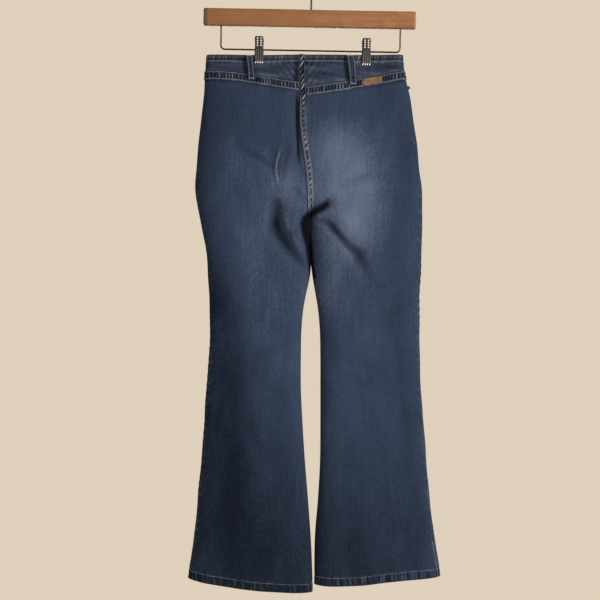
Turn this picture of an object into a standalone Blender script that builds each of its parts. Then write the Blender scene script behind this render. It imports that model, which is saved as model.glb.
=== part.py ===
"""Flared jeans, held by the waist on a wooden hanger with two metal clips.

The hanger hangs from the inside of its hook, which is the origin. +Z is up, +Y is the wearer's back, +X is the
wearer's left. Sizes in the tables are millimetres, and "drop" is how far a point lies below the origin.

The cloth is one surface, worked out section by section. At each drop a leg runs from its side seam to its inner
edge, which is the centre seam above the crotch and the inseam below it, and bows out to the back and to the front.
Every panel, and every strip that lies on a panel, takes its points from that surface.
"""

import math

import bmesh
import bpy
import numpy as np

MM = 0.001
GAP = 0.3  # between pieces that are sewn together

# ---------------------------------------------------------------- the cloth, in sections

# The outline from behind. Left and right are the wearer's.
OUTLINE_COLUMNS = ("drop", "left_outer", "left_inner", "right_inner", "right_outer")
OUTLINE = (
    (160, 189.7, 18.9, 18.9, -163.8),
    (203, 192.6, 18.4, 18.4, -167.2),
    (240, 194.6, 16.2, 16.2, -176.0),
    (295, 201.6, 15.4, 15.4, -184.1),
    (338, 205.2, 10.4, 10.4, -189.4),
    (370, 207.6, 5.8, 5.8, -192.6),
    (410, 209.6, 2.6, 2.6, -198.0),
    (440, 206.3, 2.2, 2.2, -199.0),
    (467, 200.9, 3.1, 3.1, -198.4),
    (490, 196.2, 2.8, 1.8, -197.5),
    (515, 191.4, 2.7, 1.2, -196.6),
    (540, 188.0, 3.0, 0.4, -195.7),
    (567, 186.4, 4.8, -1.6, -194.8),
    (593, 185.2, 9.6, -5.4, -193.7),
    (622, 184.4, 15.2, -10.2, -193.2),
    (655, 184.0, 18.4, -13.4, -193.1),
    (710, 185.0, 19.8, -14.8, -193.5),
    (765, 189.4, 19.8, -14.8, -196.2),
    (830, 194.5, 16.8, -14.8, -201.0),
    (896, 198.6, 12.6, -14.2, -205.2),
    (964, 205.3, 7.2, -10.5, -212.2),
    (1032, 212.6, 2.2, -5.0, -219.8),
    (1094, 221.0, -0.6, -3.9, -229.4),
    (1140, 225.0, -1.6, -4.1, -232.0),
)

# How far the cloth bows out behind and in front, and over what width it rounds in to each edge.
BOW_COLUMNS = ("drop", "back", "front", "outer_round", "inner_round")
BOW = (
    (160, 7.0, 7.4, 10, 24),
    (203, 12.6, 10.0, 20, 26),
    (250, 17.4, 12.0, 36, 30),
    (340, 24.0, 14.0, 50, 36),
    (410, 27.0, 16.0, 54, 38),
    (467, 24.0, 17.0, 50, 40),
    (540, 20.0, 16.0, 44, 40),
    (640, 16.5, 14.0, 38, 36),
    (760, 15.0, 13.0, 34, 32),
    (900, 16.0, 14.0, 38, 36),
    (1140, 18.0, 16.0, 44, 42),
)

# Where the yoke is sewn to the legs, by the share of the way from the side seam to the centre.
YOKE_COLUMNS = ("share", "back_left", "back_right", "front")
YOKE = (
    (0.00, 204.8, 204.2, 204.5),
    (0.20, 206.2, 211.4, 204.6),
    (0.35, 207.9, 215.4, 205.0),
    (0.50, 211.6, 220.6, 205.9),
    (0.65, 215.6, 226.2, 207.2),
    (0.80, 220.8, 230.0, 208.6),
    (1.00, 226.6, 235.2, 210.2),
)

WAIST_DROP = 167.4
FRONT_DIP = 9.0  # the waist's front edge lies lower at the centre
CROTCH_DROP = 467.0
CROTCH_START = 410.0  # the centre seam turns under the body from here
SPLIT_START = 375.0  # the sections begin to close into two legs from here

# The largest folds, as lines from one end to the other. A height below zero is a trough.
FOLD_COLUMNS = ("x0", "drop0", "x1", "drop1", "width", "height")
BACK_FOLDS = (
    (-22, 455, -84, 512, 13, -6.0),
    (-84, 512, -98, 566, 12, -3.5),
    (-34, 432, 6, 450, 11, -5.0),
    (-52, 486, -72, 545, 15, 3.0),
    (66, 440, 74, 478, 13, -3.5),
    (74, 478, 22, 538, 13, -4.0),
    (44, 466, 20, 500, 13, 2.5),
    (140, 330, 70, 378, 13, -2.5),
    (69, 346, 64, 414, 9, -3.0),
    (152, 640, 163, 1110, 26, -5.0),
    (112, 780, 104, 1000, 24, 2.5),
    (118, 830, 92, 890, 13, -2.0),
    (-60, 640, -58, 900, 30, 2.0),
    (-150, 700, -176, 1090, 26, -3.5),
    (-92, 900, -100, 1120, 24, 2.5),
    (-110, 404, -40, 416, 11, -1.5),
)
FRONT_FOLDS = (
    (24, 452, 96, 520, 14, -4.5),
    (-18, 452, -84, 514, 14, -4.0),
    (40, 420, 92, 404, 12, -2.5),
    (-34, 418, -88, 402, 12, -2.5),
    (96, 640, 88, 860, 30, 2.5),
    (-104, 660, -100, 900, 30, 2.5),
    (150, 760, 166, 1100, 26, -4.0),
    (60, 860, 48, 1110, 24, -3.0),
    (-152, 720, -172, 1090, 26, -4.0),
    (-62, 880, -50, 1110, 24, -3.0),
)

LEG_WALL = 1.5
BAND_WALL = 2.4  # the waistband is two plies
HEM_TURN = 16.0
HEM_WALL = 3.4  # the hem is turned up twice
HEM_COLUMNS = ("leg", "outer_drop", "inner_drop", "sag", "lean")
HEMS = (("left", 1107.0, 1131.6, 6.5, 1.0), ("right", 1103.6, 1118.0, 4.5, 2.0))

SEAM_WIDTH = 16.0  # felled yoke seam
SEAT_SEAM_WIDTH = 12.0
STRIP = 1.2  # how thick a felled seam stands

# ---------------------------------------------------------------- loops, patch, fly, button

LOOP_COLUMNS = ("name", "side", "top_x", "end_x", "end_drop", "width", "seam_under")
LOOPS = (
    ("loop_back_left", 1, 112.6, 108.4, 213.0, 11.5, True),
    ("loop_back_right", 1, -67.5, -73.4, 223.4, 13.0, True),
    ("loop_front_left", -1, 120.0, 121.0, 207.0, 12.0, False),
    ("loop_front_right", -1, -112.0, -113.0, 207.0, 12.0, False),
)
LOOP_STAND = 6.8  # room for a belt
LOOP_WALL = 1.6

PATCH_X = (-90.6, -125.6)
PATCH_HEIGHT = 12.2
PATCH_WALL = 1.2

FLY_WIDTH = 36.0
FLY_DROPS = (212.0, 330.0)

BUTTON_RADIUS = 8.5
BUTTON_RISE = 3.6

# ---------------------------------------------------------------- the hanger

TILT = math.radians(-1.06)  # the hanger hangs a little lower on the wearer's right
BAR = (381.6, 14.0, 31.0)
BAR_MIDDLE = 2.3  # the bar reaches a little further on the wearer's left
BAR_TOP = -86.2
HOOK_RADIUS = 21.0  # inside the hook
HOOK_WIRE = 1.8
RAIL_WIRE = 1.5
RAIL_DROP = 159.2
RAIL_REACH = 161.2
RAIL_CORNER = 7.0
HOLE_SLACK = 0.35
HOLE_DEPTH = 14.0

CLIPS = (("left", 95.5), ("right", -97.2))  # where they grip the waist
CLIP_PLATE = 0.9
CLIP_PINCH = 3.7  # half the thickness of the waist where a clip grips it
# One jaw plate, from the tab that a thumb presses down to the teeth. "up" is above the rail.
CLIP_COLUMNS = ("up", "out", "flange", "rib", "half_width")
CLIP_ROWS = (
    (22.4, 10.4, 0.0, 0.0, 6.6),
    (20.8, 10.2, 0.8, 0.0, 7.4),
    (12.0, 8.4, 1.4, 0.0, 7.4),
    (4.2, 5.9, 1.6, 0.0, 7.6),
    (0.0, 5.4, 1.6, 0.5, 7.8),
    (-6.5, 5.4, 0.4, 0.6, 8.0),
    (-14.0, 5.5, 0.0, 0.6, 8.0),
    (-22.0, 5.4, 0.0, 0.5, 8.0),
    (-25.3, 5.2, 0.0, 0.0, 8.0),
)
CLIP_ACROSS = 9
TOOTH = 2.8

# ---------------------------------------------------------------- tables and smooth curves


def column(rows, names, name):
    return np.array([row[names.index(name)] for row in rows], float)


def through(at, xs, ys):
    """A smooth curve through the points (xs, ys), level in slope with its neighbours at each point."""
    at = np.asarray(at, float)
    slopes = np.gradient(ys, xs)
    k = np.clip(np.searchsorted(xs, at) - 1, 0, len(xs) - 2)
    step = xs[k + 1] - xs[k]
    t = np.clip((at - xs[k]) / step, 0.0, 1.0)
    start = ys[k] * (1 + 2 * t) * (1 - t) ** 2 + slopes[k] * step * t * (1 - t) ** 2
    end = ys[k + 1] * t * t * (3 - 2 * t) - slopes[k + 1] * step * t * t * (1 - t)
    return start + end


def outline(name, drop):
    return through(drop, column(OUTLINE, OUTLINE_COLUMNS, "drop"), column(OUTLINE, OUTLINE_COLUMNS, name))


def bow(name, drop):
    return through(drop, column(BOW, BOW_COLUMNS, "drop"), column(BOW, BOW_COLUMNS, name))


def yoke_line(name, share):
    return through(share, column(YOKE, YOKE_COLUMNS, "share"), column(YOKE, YOKE_COLUMNS, name))


# ---------------------------------------------------------------- the surface of the cloth


def centre_line(drop):
    return (outline("left_inner", drop) + outline("right_inner", drop)) / 2


def edges(leg, drop):
    """The leg's outer and inner edge, with half a seam's gap off the inner one."""
    sign = 1 if leg == "left" else -1
    inner = np.where(drop <= CROTCH_DROP, centre_line(drop), outline(leg + "_inner", drop))
    return outline(leg + "_outer", drop), inner + sign * GAP / 2


def turn(drop):
    """The angle that a section goes through: a quarter round above the crotch and half round below it."""
    t = np.clip((np.asarray(drop, float) - SPLIT_START) / (CROTCH_DROP - SPLIT_START), 0, 1)
    return math.pi / 2 * (1 + t * t * (3 - 2 * t))


def share_of(u, drop):
    """How far across a point lies, from the outer edge (0) to the inner edge (1), closer together at round edges."""
    angle = turn(drop)
    return (1 - np.cos(angle * u)) / (1 - np.cos(angle))


def u_at(leg, x, drop):
    """The column whose point lies at x."""
    outer, inner = edges(leg, drop)
    angle = turn(drop)
    share = np.clip((x - outer) / (inner - outer), 0, 1)
    return np.arccos(1 - share * (1 - np.cos(angle))) / angle


def fold_height(side, x, drop):
    """The sum of the folds, each a soft ridge or trough that fades out past its ends."""
    total = np.zeros(np.broadcast(x, drop).shape)
    for x0, drop0, x1, drop1, width, height in BACK_FOLDS if side > 0 else FRONT_FOLDS:
        long = math.hypot(x1 - x0, drop1 - drop0)
        along = ((x - x0) * (x1 - x0) + (drop - drop0) * (drop1 - drop0)) / long
        apart = ((x - x0) * (drop1 - drop0) - (drop - drop0) * (x1 - x0)) / long
        past = np.maximum(np.maximum(-along, along - long), 0) + 0.25 * long * (
            np.abs(along / long - 0.5) * 2
        ) ** 4 * 0.2
        total = total + height * np.exp(-((apart / width) ** 2) - (past / (1.3 * width)) ** 2)
    return total


def cloth(leg, side, u, drop):
    """Points of the cloth's outer face, in millimetres, for columns u and the drops given."""
    u, drop = np.broadcast_arrays(np.asarray(u, float), np.asarray(drop, float))
    outer, inner = edges(leg, drop)
    x = outer + (inner - outer) * share_of(u, drop)
    from_outer = np.abs(x - outer)
    from_inner = (x - inner) * (1 if leg == "left" else -1)
    under = np.clip((drop - CROTCH_START) / (CROTCH_DROP - CROTCH_START), 0, 1)
    outer_fall = np.clip(1 - from_outer / bow("outer_round", drop), 0, 1)
    inner_fall = np.clip(under - from_inner / bow("inner_round", drop), 0, 1)
    round_in = np.sqrt(1 - outer_fall**2) * np.sqrt(1 - inner_fall**2)
    y = (bow("back" if side > 0 else "front", drop) + fold_height(side, x, drop)) * round_in
    for _, clip_x in CLIPS:
        beside = np.maximum(np.abs(x - clip_x) - 12, 0) / 30
        below = np.maximum(drop - 186, 0) / 44
        pinch = np.exp(-(beside**2) - below**2)
        y = y + (CLIP_PINCH - y) * pinch * round_in
    past_side = u < 0
    past_inseam = (u > 1) & (under >= 1)
    y = np.where(past_side | past_inseam, -y, y)
    return np.stack([x, side * (y + GAP / 2), -drop], axis=-1)


def normals(leg, side, u, drop):
    """Which way the cloth faces, from the two directions along it."""
    across = cloth(leg, side, u + 0.002, drop) - cloth(leg, side, u - 0.002, drop)
    down = cloth(leg, side, u, drop + 0.4) - cloth(leg, side, u, drop - 0.4)
    facing = np.cross(across, down)
    facing = facing / np.linalg.norm(facing, axis=-1, keepdims=True)
    middle_out = np.where(facing[..., 1:2] * side < 0, -1.0, 1.0)
    flat = np.abs(facing[..., 1:2]) < 0.02
    outwards = np.array([1.0 if leg == "left" else -1.0, 0.0, 0.0])
    along_x = np.sign((facing * outwards).sum(axis=-1, keepdims=True))
    at_inner = np.where(np.asarray(u)[..., None] > 0.5, -1.0, 1.0)
    return facing * np.where(flat, along_x * at_inner, middle_out)


def lifted(leg, side, u, drop, lift):
    lift = np.asarray(lift, float)
    return cloth(leg, side, u, drop) + normals(leg, side, u, drop) * lift[..., None]


# ---------------------------------------------------------------- meshes


def shell(name, outer, inner, material):
    """A closed wall between two grids of points with the same rows and columns."""
    rows, cols = outer.shape[:2]
    points = np.concatenate([outer.reshape(-1, 3), inner.reshape(-1, 3)]) * MM
    index = np.arange(rows * cols).reshape(rows, cols)
    back = index + rows * cols
    faces = []
    for r in range(rows - 1):
        for c in range(cols - 1):
            faces.append((index[r, c], index[r, c + 1], index[r + 1, c + 1], index[r + 1, c]))
            faces.append((back[r, c], back[r + 1, c], back[r + 1, c + 1], back[r, c + 1]))
    for r in range(rows - 1):
        faces.append((index[r, 0], index[r + 1, 0], back[r + 1, 0], back[r, 0]))
        faces.append((index[r, -1], back[r, -1], back[r + 1, -1], index[r + 1, -1]))
    for c in range(cols - 1):
        faces.append((index[0, c], back[0, c], back[0, c + 1], index[0, c + 1]))
        faces.append((index[-1, c], index[-1, c + 1], back[-1, c + 1], back[-1, c]))
    mesh = bpy.data.meshes.new(name)
    mesh.from_pydata(points.tolist(), [], [tuple(int(i) for i in face) for face in faces])
    work = bmesh.new()
    work.from_mesh(mesh)
    bmesh.ops.recalc_face_normals(work, faces=work.faces)
    work.to_mesh(mesh)
    work.free()
    return place(name, mesh, material)


def place(name, data, material, rotation=0.0):
    made = bpy.data.objects.new(name, data)
    made.rotation_euler = (0.0, rotation, 0.0)
    made.data.materials.append(material)
    parts.objects.link(made)
    return made


def finish(name, colour, roughness, metallic=0.0):
    made = bpy.data.materials.new(name)
    made.use_nodes = True
    shader = made.node_tree.nodes["Principled BSDF"]
    shader.inputs["Base Color"].default_value = (*colour, 1.0)
    shader.inputs["Roughness"].default_value = roughness
    shader.inputs["Metallic"].default_value = metallic
    return made


def wire(name, points, radius, material):
    """A round wire through points in the hanger's own plane."""
    data = bpy.data.curves.new(name, "CURVE")
    data.dimensions = "3D"
    data.bevel_depth = radius * MM
    data.bevel_resolution = 2
    data.use_fill_caps = True
    line = data.splines.new("POLY")
    line.points.add(len(points) - 1)
    for point, (x, z) in zip(line.points, points):
        point.co = (x * MM, 0.0, z * MM, 1.0)
    return place(name, data, material, TILT)


# ---------------------------------------------------------------- scene

for old in list(bpy.data.objects):
    bpy.data.objects.remove(old)

parts = bpy.data.collections.new("flared_jeans_on_hanger")
cutters = bpy.data.collections.new("cutters")
bpy.context.scene.collection.children.link(parts)
bpy.context.scene.collection.children.link(cutters)

denim = finish("denim", (0.045, 0.075, 0.13), 0.85)
denim_seam = finish("denim_seam", (0.035, 0.055, 0.10), 0.85)
leather = finish("leather", (0.42, 0.20, 0.08), 0.6)
wood = finish("wood", (0.36, 0.17, 0.07), 0.5)
steel = finish("steel", (0.25, 0.23, 0.21), 0.35, 1.0)
dark_steel = finish("dark_steel", (0.10, 0.09, 0.08), 0.35, 1.0)
button_metal = finish("button_metal", (0.30, 0.22, 0.13), 0.4, 1.0)

# ---------------------------------------------------------------- legs


def hem_line(leg, share):
    """The drop of the hem's edge. It sags between the side seam and the inseam."""
    _, outer_drop, inner_drop, sag, lean = next(row for row in HEMS if row[0] == leg)
    return outer_drop + (inner_drop - outer_drop) * share + sag * np.sin(math.pi * share**lean)


def row_drops(counts):
    """The drops of the rows where they meet the inner edge. Rows crowd where the centre seam turns under."""
    seat, crotch, thigh, calf = counts
    centre = float(yoke_line("back_left", 1.0))
    swing = np.sin(np.linspace(0, math.pi / 2, crotch + 1))
    return np.concatenate(
        [
            (centre, centre + SEAM_WIDTH / 4),
            np.linspace(centre + SEAM_WIDTH / 2, CROTCH_START, seat)[:-1],
            CROTCH_START + (CROTCH_DROP - CROTCH_START) * swing,
            np.linspace(CROTCH_DROP, 600, thigh + 1)[1:],
            np.linspace(600, 1080, calf + 1)[1:],
        ]
    )


def leg_panel(name, leg, side, columns, counts):
    u = np.linspace(0, 1, columns + 1)
    share = (1 - np.cos(math.pi * u)) / 2
    yoke_share = 1 - np.cos(math.pi / 2 * u)
    top = yoke_line("front" if side < 0 else "back_" + leg, yoke_share) + GAP / 2
    bottom = hem_line(leg, share)
    stitch = bottom - HEM_TURN
    drops = row_drops(counts)
    walk = (drops - drops[0]) / (drops[-1] - drops[0])
    crotch_walk = (CROTCH_DROP - drops[0]) / (drops[-1] - drops[0])
    # Rows are level at the crotch, and tilt towards the yoke above it and towards the hem below it.
    upper = np.clip(walk / crotch_walk, 0, 1)[:, None]
    lower = np.clip((walk - crotch_walk) / (1 - crotch_walk), 0, 1)[:, None]
    grid = np.where(
        walk[:, None] <= crotch_walk,
        top + (CROTCH_DROP - top) * upper,
        CROTCH_DROP + (stitch - CROTCH_DROP) * lower,
    )
    last = np.stack([stitch + 1.2, (stitch + bottom) / 2, bottom])
    grid = np.concatenate([grid, last])
    wall = np.full(grid.shape, LEG_WALL)
    wall[-3:] = HEM_WALL
    across = np.broadcast_to(u, grid.shape)
    outer = cloth(leg, side, across, grid)
    inner = outer - normals(leg, side, across, grid) * wall[..., None]
    return shell(name, outer, inner, denim)


leg_panel("back_leg_left", "left", 1, 19, (9, 7, 8, 17))
leg_panel("back_leg_right", "right", 1, 19, (9, 7, 8, 17))
leg_panel("front_leg_left", "left", -1, 14, (7, 6, 6, 12))
leg_panel("front_leg_right", "right", -1, 14, (7, 6, 6, 12))

# ---------------------------------------------------------------- yoke and waistband


def band_panel(name, leg, side, columns, rows):
    u = np.linspace(0, 1, columns + 1)
    share = 1 - np.cos(math.pi / 2 * u)
    top = WAIST_DROP + (FRONT_DIP * share**2 if side < 0 else 0 * share)
    bottom = yoke_line("front" if side < 0 else "back_" + leg, share) - GAP / 2
    v = np.linspace(0, 1, rows + 1)[:, None]
    grid = top + (bottom - top) * v
    across = np.broadcast_to(u, grid.shape)
    outer = cloth(leg, side, across, grid)
    inner = outer - normals(leg, side, across, grid) * BAND_WALL
    return shell(name, outer, inner, denim)


band_panel("back_yoke_left", "left", 1, 18, 4)
band_panel("back_yoke_right", "right", 1, 18, 4)
band_panel("front_band_left", "left", -1, 16, 3)
band_panel("front_band_right", "right", -1, 16, 3)

# ---------------------------------------------------------------- felled seams


def yoke_seam(name, leg, columns):
    """A strip over the seam of yoke and leg, from the side seam to the seat seam's edge."""
    _, inner = edges(leg, 226.0)
    sign = 1 if leg == "left" else -1
    last = float(u_at(leg, inner + sign * (SEAT_SEAM_WIDTH / 2 + GAP), 226.0))
    u = np.linspace(0, last, columns + 1)
    line = yoke_line("back_" + leg, 1 - np.cos(math.pi / 2 * u))
    v = np.linspace(-0.5, 0.5, 5)[:, None] * SEAM_WIDTH
    grid = line + v
    across = np.broadcast_to(u, grid.shape)
    low = lifted(leg, 1, across, grid, np.full(grid.shape, GAP))
    high = lifted(leg, 1, across, grid, np.full(grid.shape, GAP + STRIP))
    return shell(name, high, low, denim_seam)


def seat_seam(name, rows):
    """A strip over the centre seam, from the waist until the seam turns under the body."""
    swing = np.sin(np.linspace(0, math.radians(56), 6))
    drops = np.concatenate(
        [
            np.linspace(WAIST_DROP, CROTCH_START, rows)[:-1],
            CROTCH_START + (CROTCH_DROP - CROTCH_START) * swing,
        ]
    )
    offsets = np.array([-0.5, -0.25, 0.0, 0.25, 0.5]) * SEAT_SEAM_WIDTH
    points = []
    facing = []
    for offset in offsets:
        column_points = []
        column_facing = []
        for leg, sign in (("left", 1), ("right", -1)):
            u = u_at(leg, centre_line(drops) + sign * abs(offset), drops)
            column_points.append(cloth(leg, 1, u, drops))
            column_facing.append(normals(leg, 1, u, drops))
        which = 0 if offset > 0 else 1
        if offset == 0:
            points.append((column_points[0] + column_points[1]) / 2)
            both = column_facing[0] + column_facing[1]
            facing.append(both / np.linalg.norm(both, axis=-1, keepdims=True))
        else:
            points.append(column_points[which])
            facing.append(column_facing[which])
    points = np.stack(points, axis=1)
    facing = np.stack(facing, axis=1)
    return shell(name, points + facing * (GAP + STRIP), points + facing * GAP, denim_seam)


yoke_seam("yoke_seam_left", "left", 16)
yoke_seam("yoke_seam_right", "right", 16)
seat_seam("seat_seam", 14)

# ---------------------------------------------------------------- belt loops


def belt_loop(name, side, top_x, end_x, end_drop, width, seam_under):
    """A strip sewn down at both ends, which stands off the waistband between them."""
    leg = "left" if top_x > 0 else "right"
    start = WAIST_DROP + (3.0 if side < 0 else 0.6)
    end_lift = GAP + (STRIP + GAP if seam_under else 0)
    drops = np.array([start, start + 3.5, start + 8, end_drop - 11, end_drop - 6, end_drop - 3, end_drop])
    lift = np.array([GAP, 2.6, LOOP_STAND, LOOP_STAND, LOOP_STAND - 1.2, end_lift + 0.6, end_lift])
    middle = top_x + (end_x - top_x) * (drops - start) / (end_drop - start)
    x = middle[:, None] + np.array([-0.5, 0.0, 0.5]) * width
    grid = np.broadcast_to(drops[:, None], x.shape)
    u = u_at(leg, x, grid)
    lift = np.broadcast_to(lift[:, None], x.shape)
    low = lifted(leg, side, u, grid, lift)
    high = lifted(leg, side, u, grid, lift + LOOP_WALL)
    return shell(name, high, low, denim)


for loop in LOOPS:
    belt_loop(*loop)

# ---------------------------------------------------------------- patch, fly lap and button


def leather_patch():
    x = np.linspace(PATCH_X[0], PATCH_X[1], 5)
    outer, inner = edges("right", 214.0)
    line = yoke_line("back_right", (x - outer) / (inner - outer))
    grid = line + np.array([-0.5, 0.5])[:, None] * PATCH_HEIGHT
    u = u_at("right", np.broadcast_to(x, grid.shape), grid)
    lift = np.full(grid.shape, STRIP + 2 * GAP)
    low = lifted("right", 1, u, grid, lift)
    high = lifted("right", 1, u, grid, lift + PATCH_WALL)
    return shell("leather_patch", high, low, leather)


def fly_lap():
    """The overlap of the left front, square at the top and rounded off at its lower outer corner."""
    corner = FLY_DROPS[1] - FLY_WIDTH
    swing = np.radians((18, 36, 54, 72, 90))
    drops = np.concatenate([np.linspace(FLY_DROPS[0], corner, 5), corner + FLY_WIDTH * np.sin(swing)])
    fall = np.clip((drops - corner) / FLY_WIDTH, 0, 1)
    reach = 5 + (FLY_WIDTH - 5) * np.sqrt(1 - fall**2)
    shares = np.linspace(0, 1, 4)
    x = centre_line(drops)[:, None] + GAP + reach[:, None] * shares
    grid = np.broadcast_to(drops[:, None], x.shape)
    u = u_at("left", x, grid)
    lift = np.full(grid.shape, GAP)
    low = lifted("left", -1, u, grid, lift)
    high = lifted("left", -1, u, grid, lift + STRIP)
    return shell("fly_lap", high, low, denim_seam)


def button():
    """A round shank button with a soft edge, on the end of the left waistband."""
    drop = 192.0
    x = float(centre_line(drop)) + 12.0
    middle = cloth("left", -1, u_at("left", x, drop), drop)
    mesh = bpy.data.meshes.new("button")
    work = bmesh.new()
    rise = BUTTON_RISE * MM
    profile = ((0.45, 0.0), (0.45, 0.3), (1.0, 0.35), (1.0, 0.8), (0.86, 1.0))
    rings = []
    for radius, height in profile:
        ring = []
        for k in range(20):
            angle = 2 * math.pi * k / 20
            r = radius * BUTTON_RADIUS * MM
            out = (GAP + 0.15) * MM + height * rise
            ring.append(
                work.verts.new(
                    (x * MM + r * math.cos(angle), middle[1] * MM - out, -drop * MM + r * math.sin(angle))
                )
            )
        rings.append(ring)
    for low, high in zip(rings, rings[1:]):
        for k in range(20):
            work.faces.new((low[k], low[k - 1], high[k - 1], high[k]))
    work.faces.new(rings[0])
    work.faces.new(rings[-1])
    bmesh.ops.recalc_face_normals(work, faces=work.faces)
    work.to_mesh(mesh)
    work.free()
    return place("button", mesh, button_metal)


leather_patch()
fly_lap()
button()

# ---------------------------------------------------------------- hanger bar, hook and rail


def drill(target, name, x, z, radius):
    """A round blind hole along Z, in the hanger's own frame."""
    mesh = bpy.data.meshes.new(name)
    work = bmesh.new()
    bmesh.ops.create_cone(
        work,
        segments=12,
        cap_ends=True,
        radius1=radius * MM,
        radius2=radius * MM,
        depth=2 * HOLE_DEPTH * MM,
    )
    bmesh.ops.translate(work, vec=(x * MM, 0.0, z * MM), verts=work.verts)
    work.to_mesh(mesh)
    work.free()
    cutter = bpy.data.objects.new(name, mesh)
    cutter.rotation_euler = (0.0, TILT, 0.0)
    cutter.hide_render = True
    cutter.display_type = "WIRE"
    cutters.objects.link(cutter)
    cut = target.modifiers.new(name, "BOOLEAN")
    cut.operation = "DIFFERENCE"
    cut.object = cutter
    cut.solver = "EXACT"


def hanger_bar():
    mesh = bpy.data.meshes.new("hanger_bar")
    work = bmesh.new()
    bmesh.ops.create_cube(work, size=1.0)
    bmesh.ops.scale(work, vec=[side * MM for side in BAR], verts=work.verts)
    bmesh.ops.translate(work, vec=(BAR_MIDDLE * MM, 0, (BAR_TOP - BAR[2] / 2) * MM), verts=work.verts)
    work.to_mesh(mesh)
    work.free()
    bar = place("hanger_bar", mesh, wood, TILT)
    soften = bar.modifiers.new("soft_edges", "BEVEL")
    soften.width = 3.0 * MM
    soften.segments = 3
    drill(bar, "hook_hole", 0.0, BAR_TOP, HOOK_WIRE + HOLE_SLACK)
    drill(bar, "rail_hole_left", RAIL_REACH, BAR_TOP - BAR[2], RAIL_WIRE + HOLE_SLACK)
    drill(bar, "rail_hole_right", -RAIL_REACH, BAR_TOP - BAR[2], RAIL_WIRE + HOLE_SLACK)
    return bar


def hook_points():
    """The stem, a short swing to one side, then most of a circle over the top."""
    radius = HOOK_RADIUS + HOOK_WIRE
    start = np.array([0.0, -52.0])
    angle = math.radians(238)
    meet = np.array([radius * math.cos(angle), -HOOK_RADIUS + radius * math.sin(angle)])
    heading = np.array([math.sin(angle), -math.cos(angle)])
    controls = (start, start + (0, 6.5), meet - heading * 6.5, meet)
    points = [(0.0, BAR_TOP - HOLE_DEPTH + 2), (0.0, BAR_TOP), tuple(start)]
    for t in np.linspace(0, 1, 6)[1:-1]:
        weights = ((1 - t) ** 3, 3 * t * (1 - t) ** 2, 3 * t * t * (1 - t), t**3)
        points.append(tuple(sum(w * c for w, c in zip(weights, controls))))
    for angle in np.radians(np.arange(238, -29, -14)):
        points.append((radius * math.cos(angle), -HOOK_RADIUS + radius * math.sin(angle)))
    return points


def rail_points():
    """Down from the bar, along under it, and up again, with round corners."""
    top = BAR_TOP - BAR[2] + HOLE_DEPTH - 2
    points = [(RAIL_REACH, top), (RAIL_REACH, BAR_TOP - BAR[2])]
    for angle in np.radians((0, 30, 60, 90)):
        across = RAIL_REACH - RAIL_CORNER * (1 - math.cos(angle))
        points.append((across, -RAIL_DROP + RAIL_CORNER * (1 - math.sin(angle))))
    return points + [(-x, z) for x, z in reversed(points)]


hanger_bar()
wire("hanger_hook", hook_points(), HOOK_WIRE, steel)
wire("hanger_rail", rail_points(), RAIL_WIRE, steel)

# ---------------------------------------------------------------- clips


def jaw_plate(name, middle_x, side):
    """A pressed plate: a tab above the rail, ribs below it, and a row of teeth along its lower edge."""
    across = np.linspace(-1, 1, CLIP_ACROSS)
    odd = np.arange(CLIP_ACROSS) % 2
    outer = []
    inner = []
    for up, out, flange, rib, half_width in CLIP_ROWS:
        bent = flange * np.clip((np.abs(across) - 0.72) / 0.28, 0, 1) ** 1.5
        y = out - bent + rib * odd
        z = np.full(CLIP_ACROSS, up)
        if up == CLIP_ROWS[-1][0]:
            z = up + TOOTH * (1 - odd)
        x = across * half_width
        outer.append(np.stack([x, y, z], axis=-1))
        inner.append(np.stack([x * (1 - 0.1 * (np.abs(across) > 0.99)), y - CLIP_PLATE, z], axis=-1))
    grids = []
    for grid in (np.array(outer), np.array(inner)):
        moved = grid * (1, side, 1) + (middle_x, 0, -RAIL_DROP)
        grids.append(moved)
    made = shell(name, grids[0], grids[1], dark_steel)
    made.rotation_euler = (0.0, TILT, 0.0)
    return made


def clip_spring(name, middle_x):
    """The coil round the rail between a clip's plates, as a plain sleeve."""
    rings = []
    for radius in (2.9, RAIL_WIRE + HOLE_SLACK):
        angles = np.linspace(0, 2 * math.pi, 13)[:-1]
        rings.append(np.stack([0 * angles, radius * np.cos(angles), radius * np.sin(angles)], axis=-1))
    half = 5.5
    mesh = bpy.data.meshes.new(name)
    work = bmesh.new()
    loops = []
    for ring, x in ((rings[0], -half), (rings[0], half), (rings[1], half), (rings[1], -half)):
        moved = (ring + (middle_x + x, 0, -RAIL_DROP)) * MM
        loops.append([work.verts.new(point) for point in moved])
    for k in range(4):
        first, second = loops[k], loops[(k + 1) % 4]
        for j in range(12):
            work.faces.new((first[j - 1], first[j], second[j], second[j - 1]))
    bmesh.ops.recalc_face_normals(work, faces=work.faces)
    work.to_mesh(mesh)
    work.free()
    return place(name, mesh, dark_steel, TILT)


for place_name, clip_x in CLIPS:
    middle_x = clip_x + (RAIL_DROP + 20) * math.sin(TILT)
    jaw_plate("clip_" + place_name + "_back", middle_x, 1)
    jaw_plate("clip_" + place_name + "_front", middle_x, -1)
    clip_spring("clip_" + place_name + "_spring", middle_x)
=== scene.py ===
# %% [markdown]
# # Flared jeans on a clip hanger
#
# A pair of denim jeans hangs by its waist from a wooden bar with a wire rail and two spring clips. We look at the
# wearer's back. The solids that carry the jeans are already made: this script dresses them, piece by piece, with thin
# cloth, folds, sewing, washed denim, oiled wood and browned steel.
#
# Every piece of cloth is one surface, worked out as whole arrays: across a leg runs u, from the side seam to the inner
# edge, and down the leg runs the drop below the hook. Sizes are in millimetres until a mesh is made.

# %% Load the frame
import math
from collections import namedtuple

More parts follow.
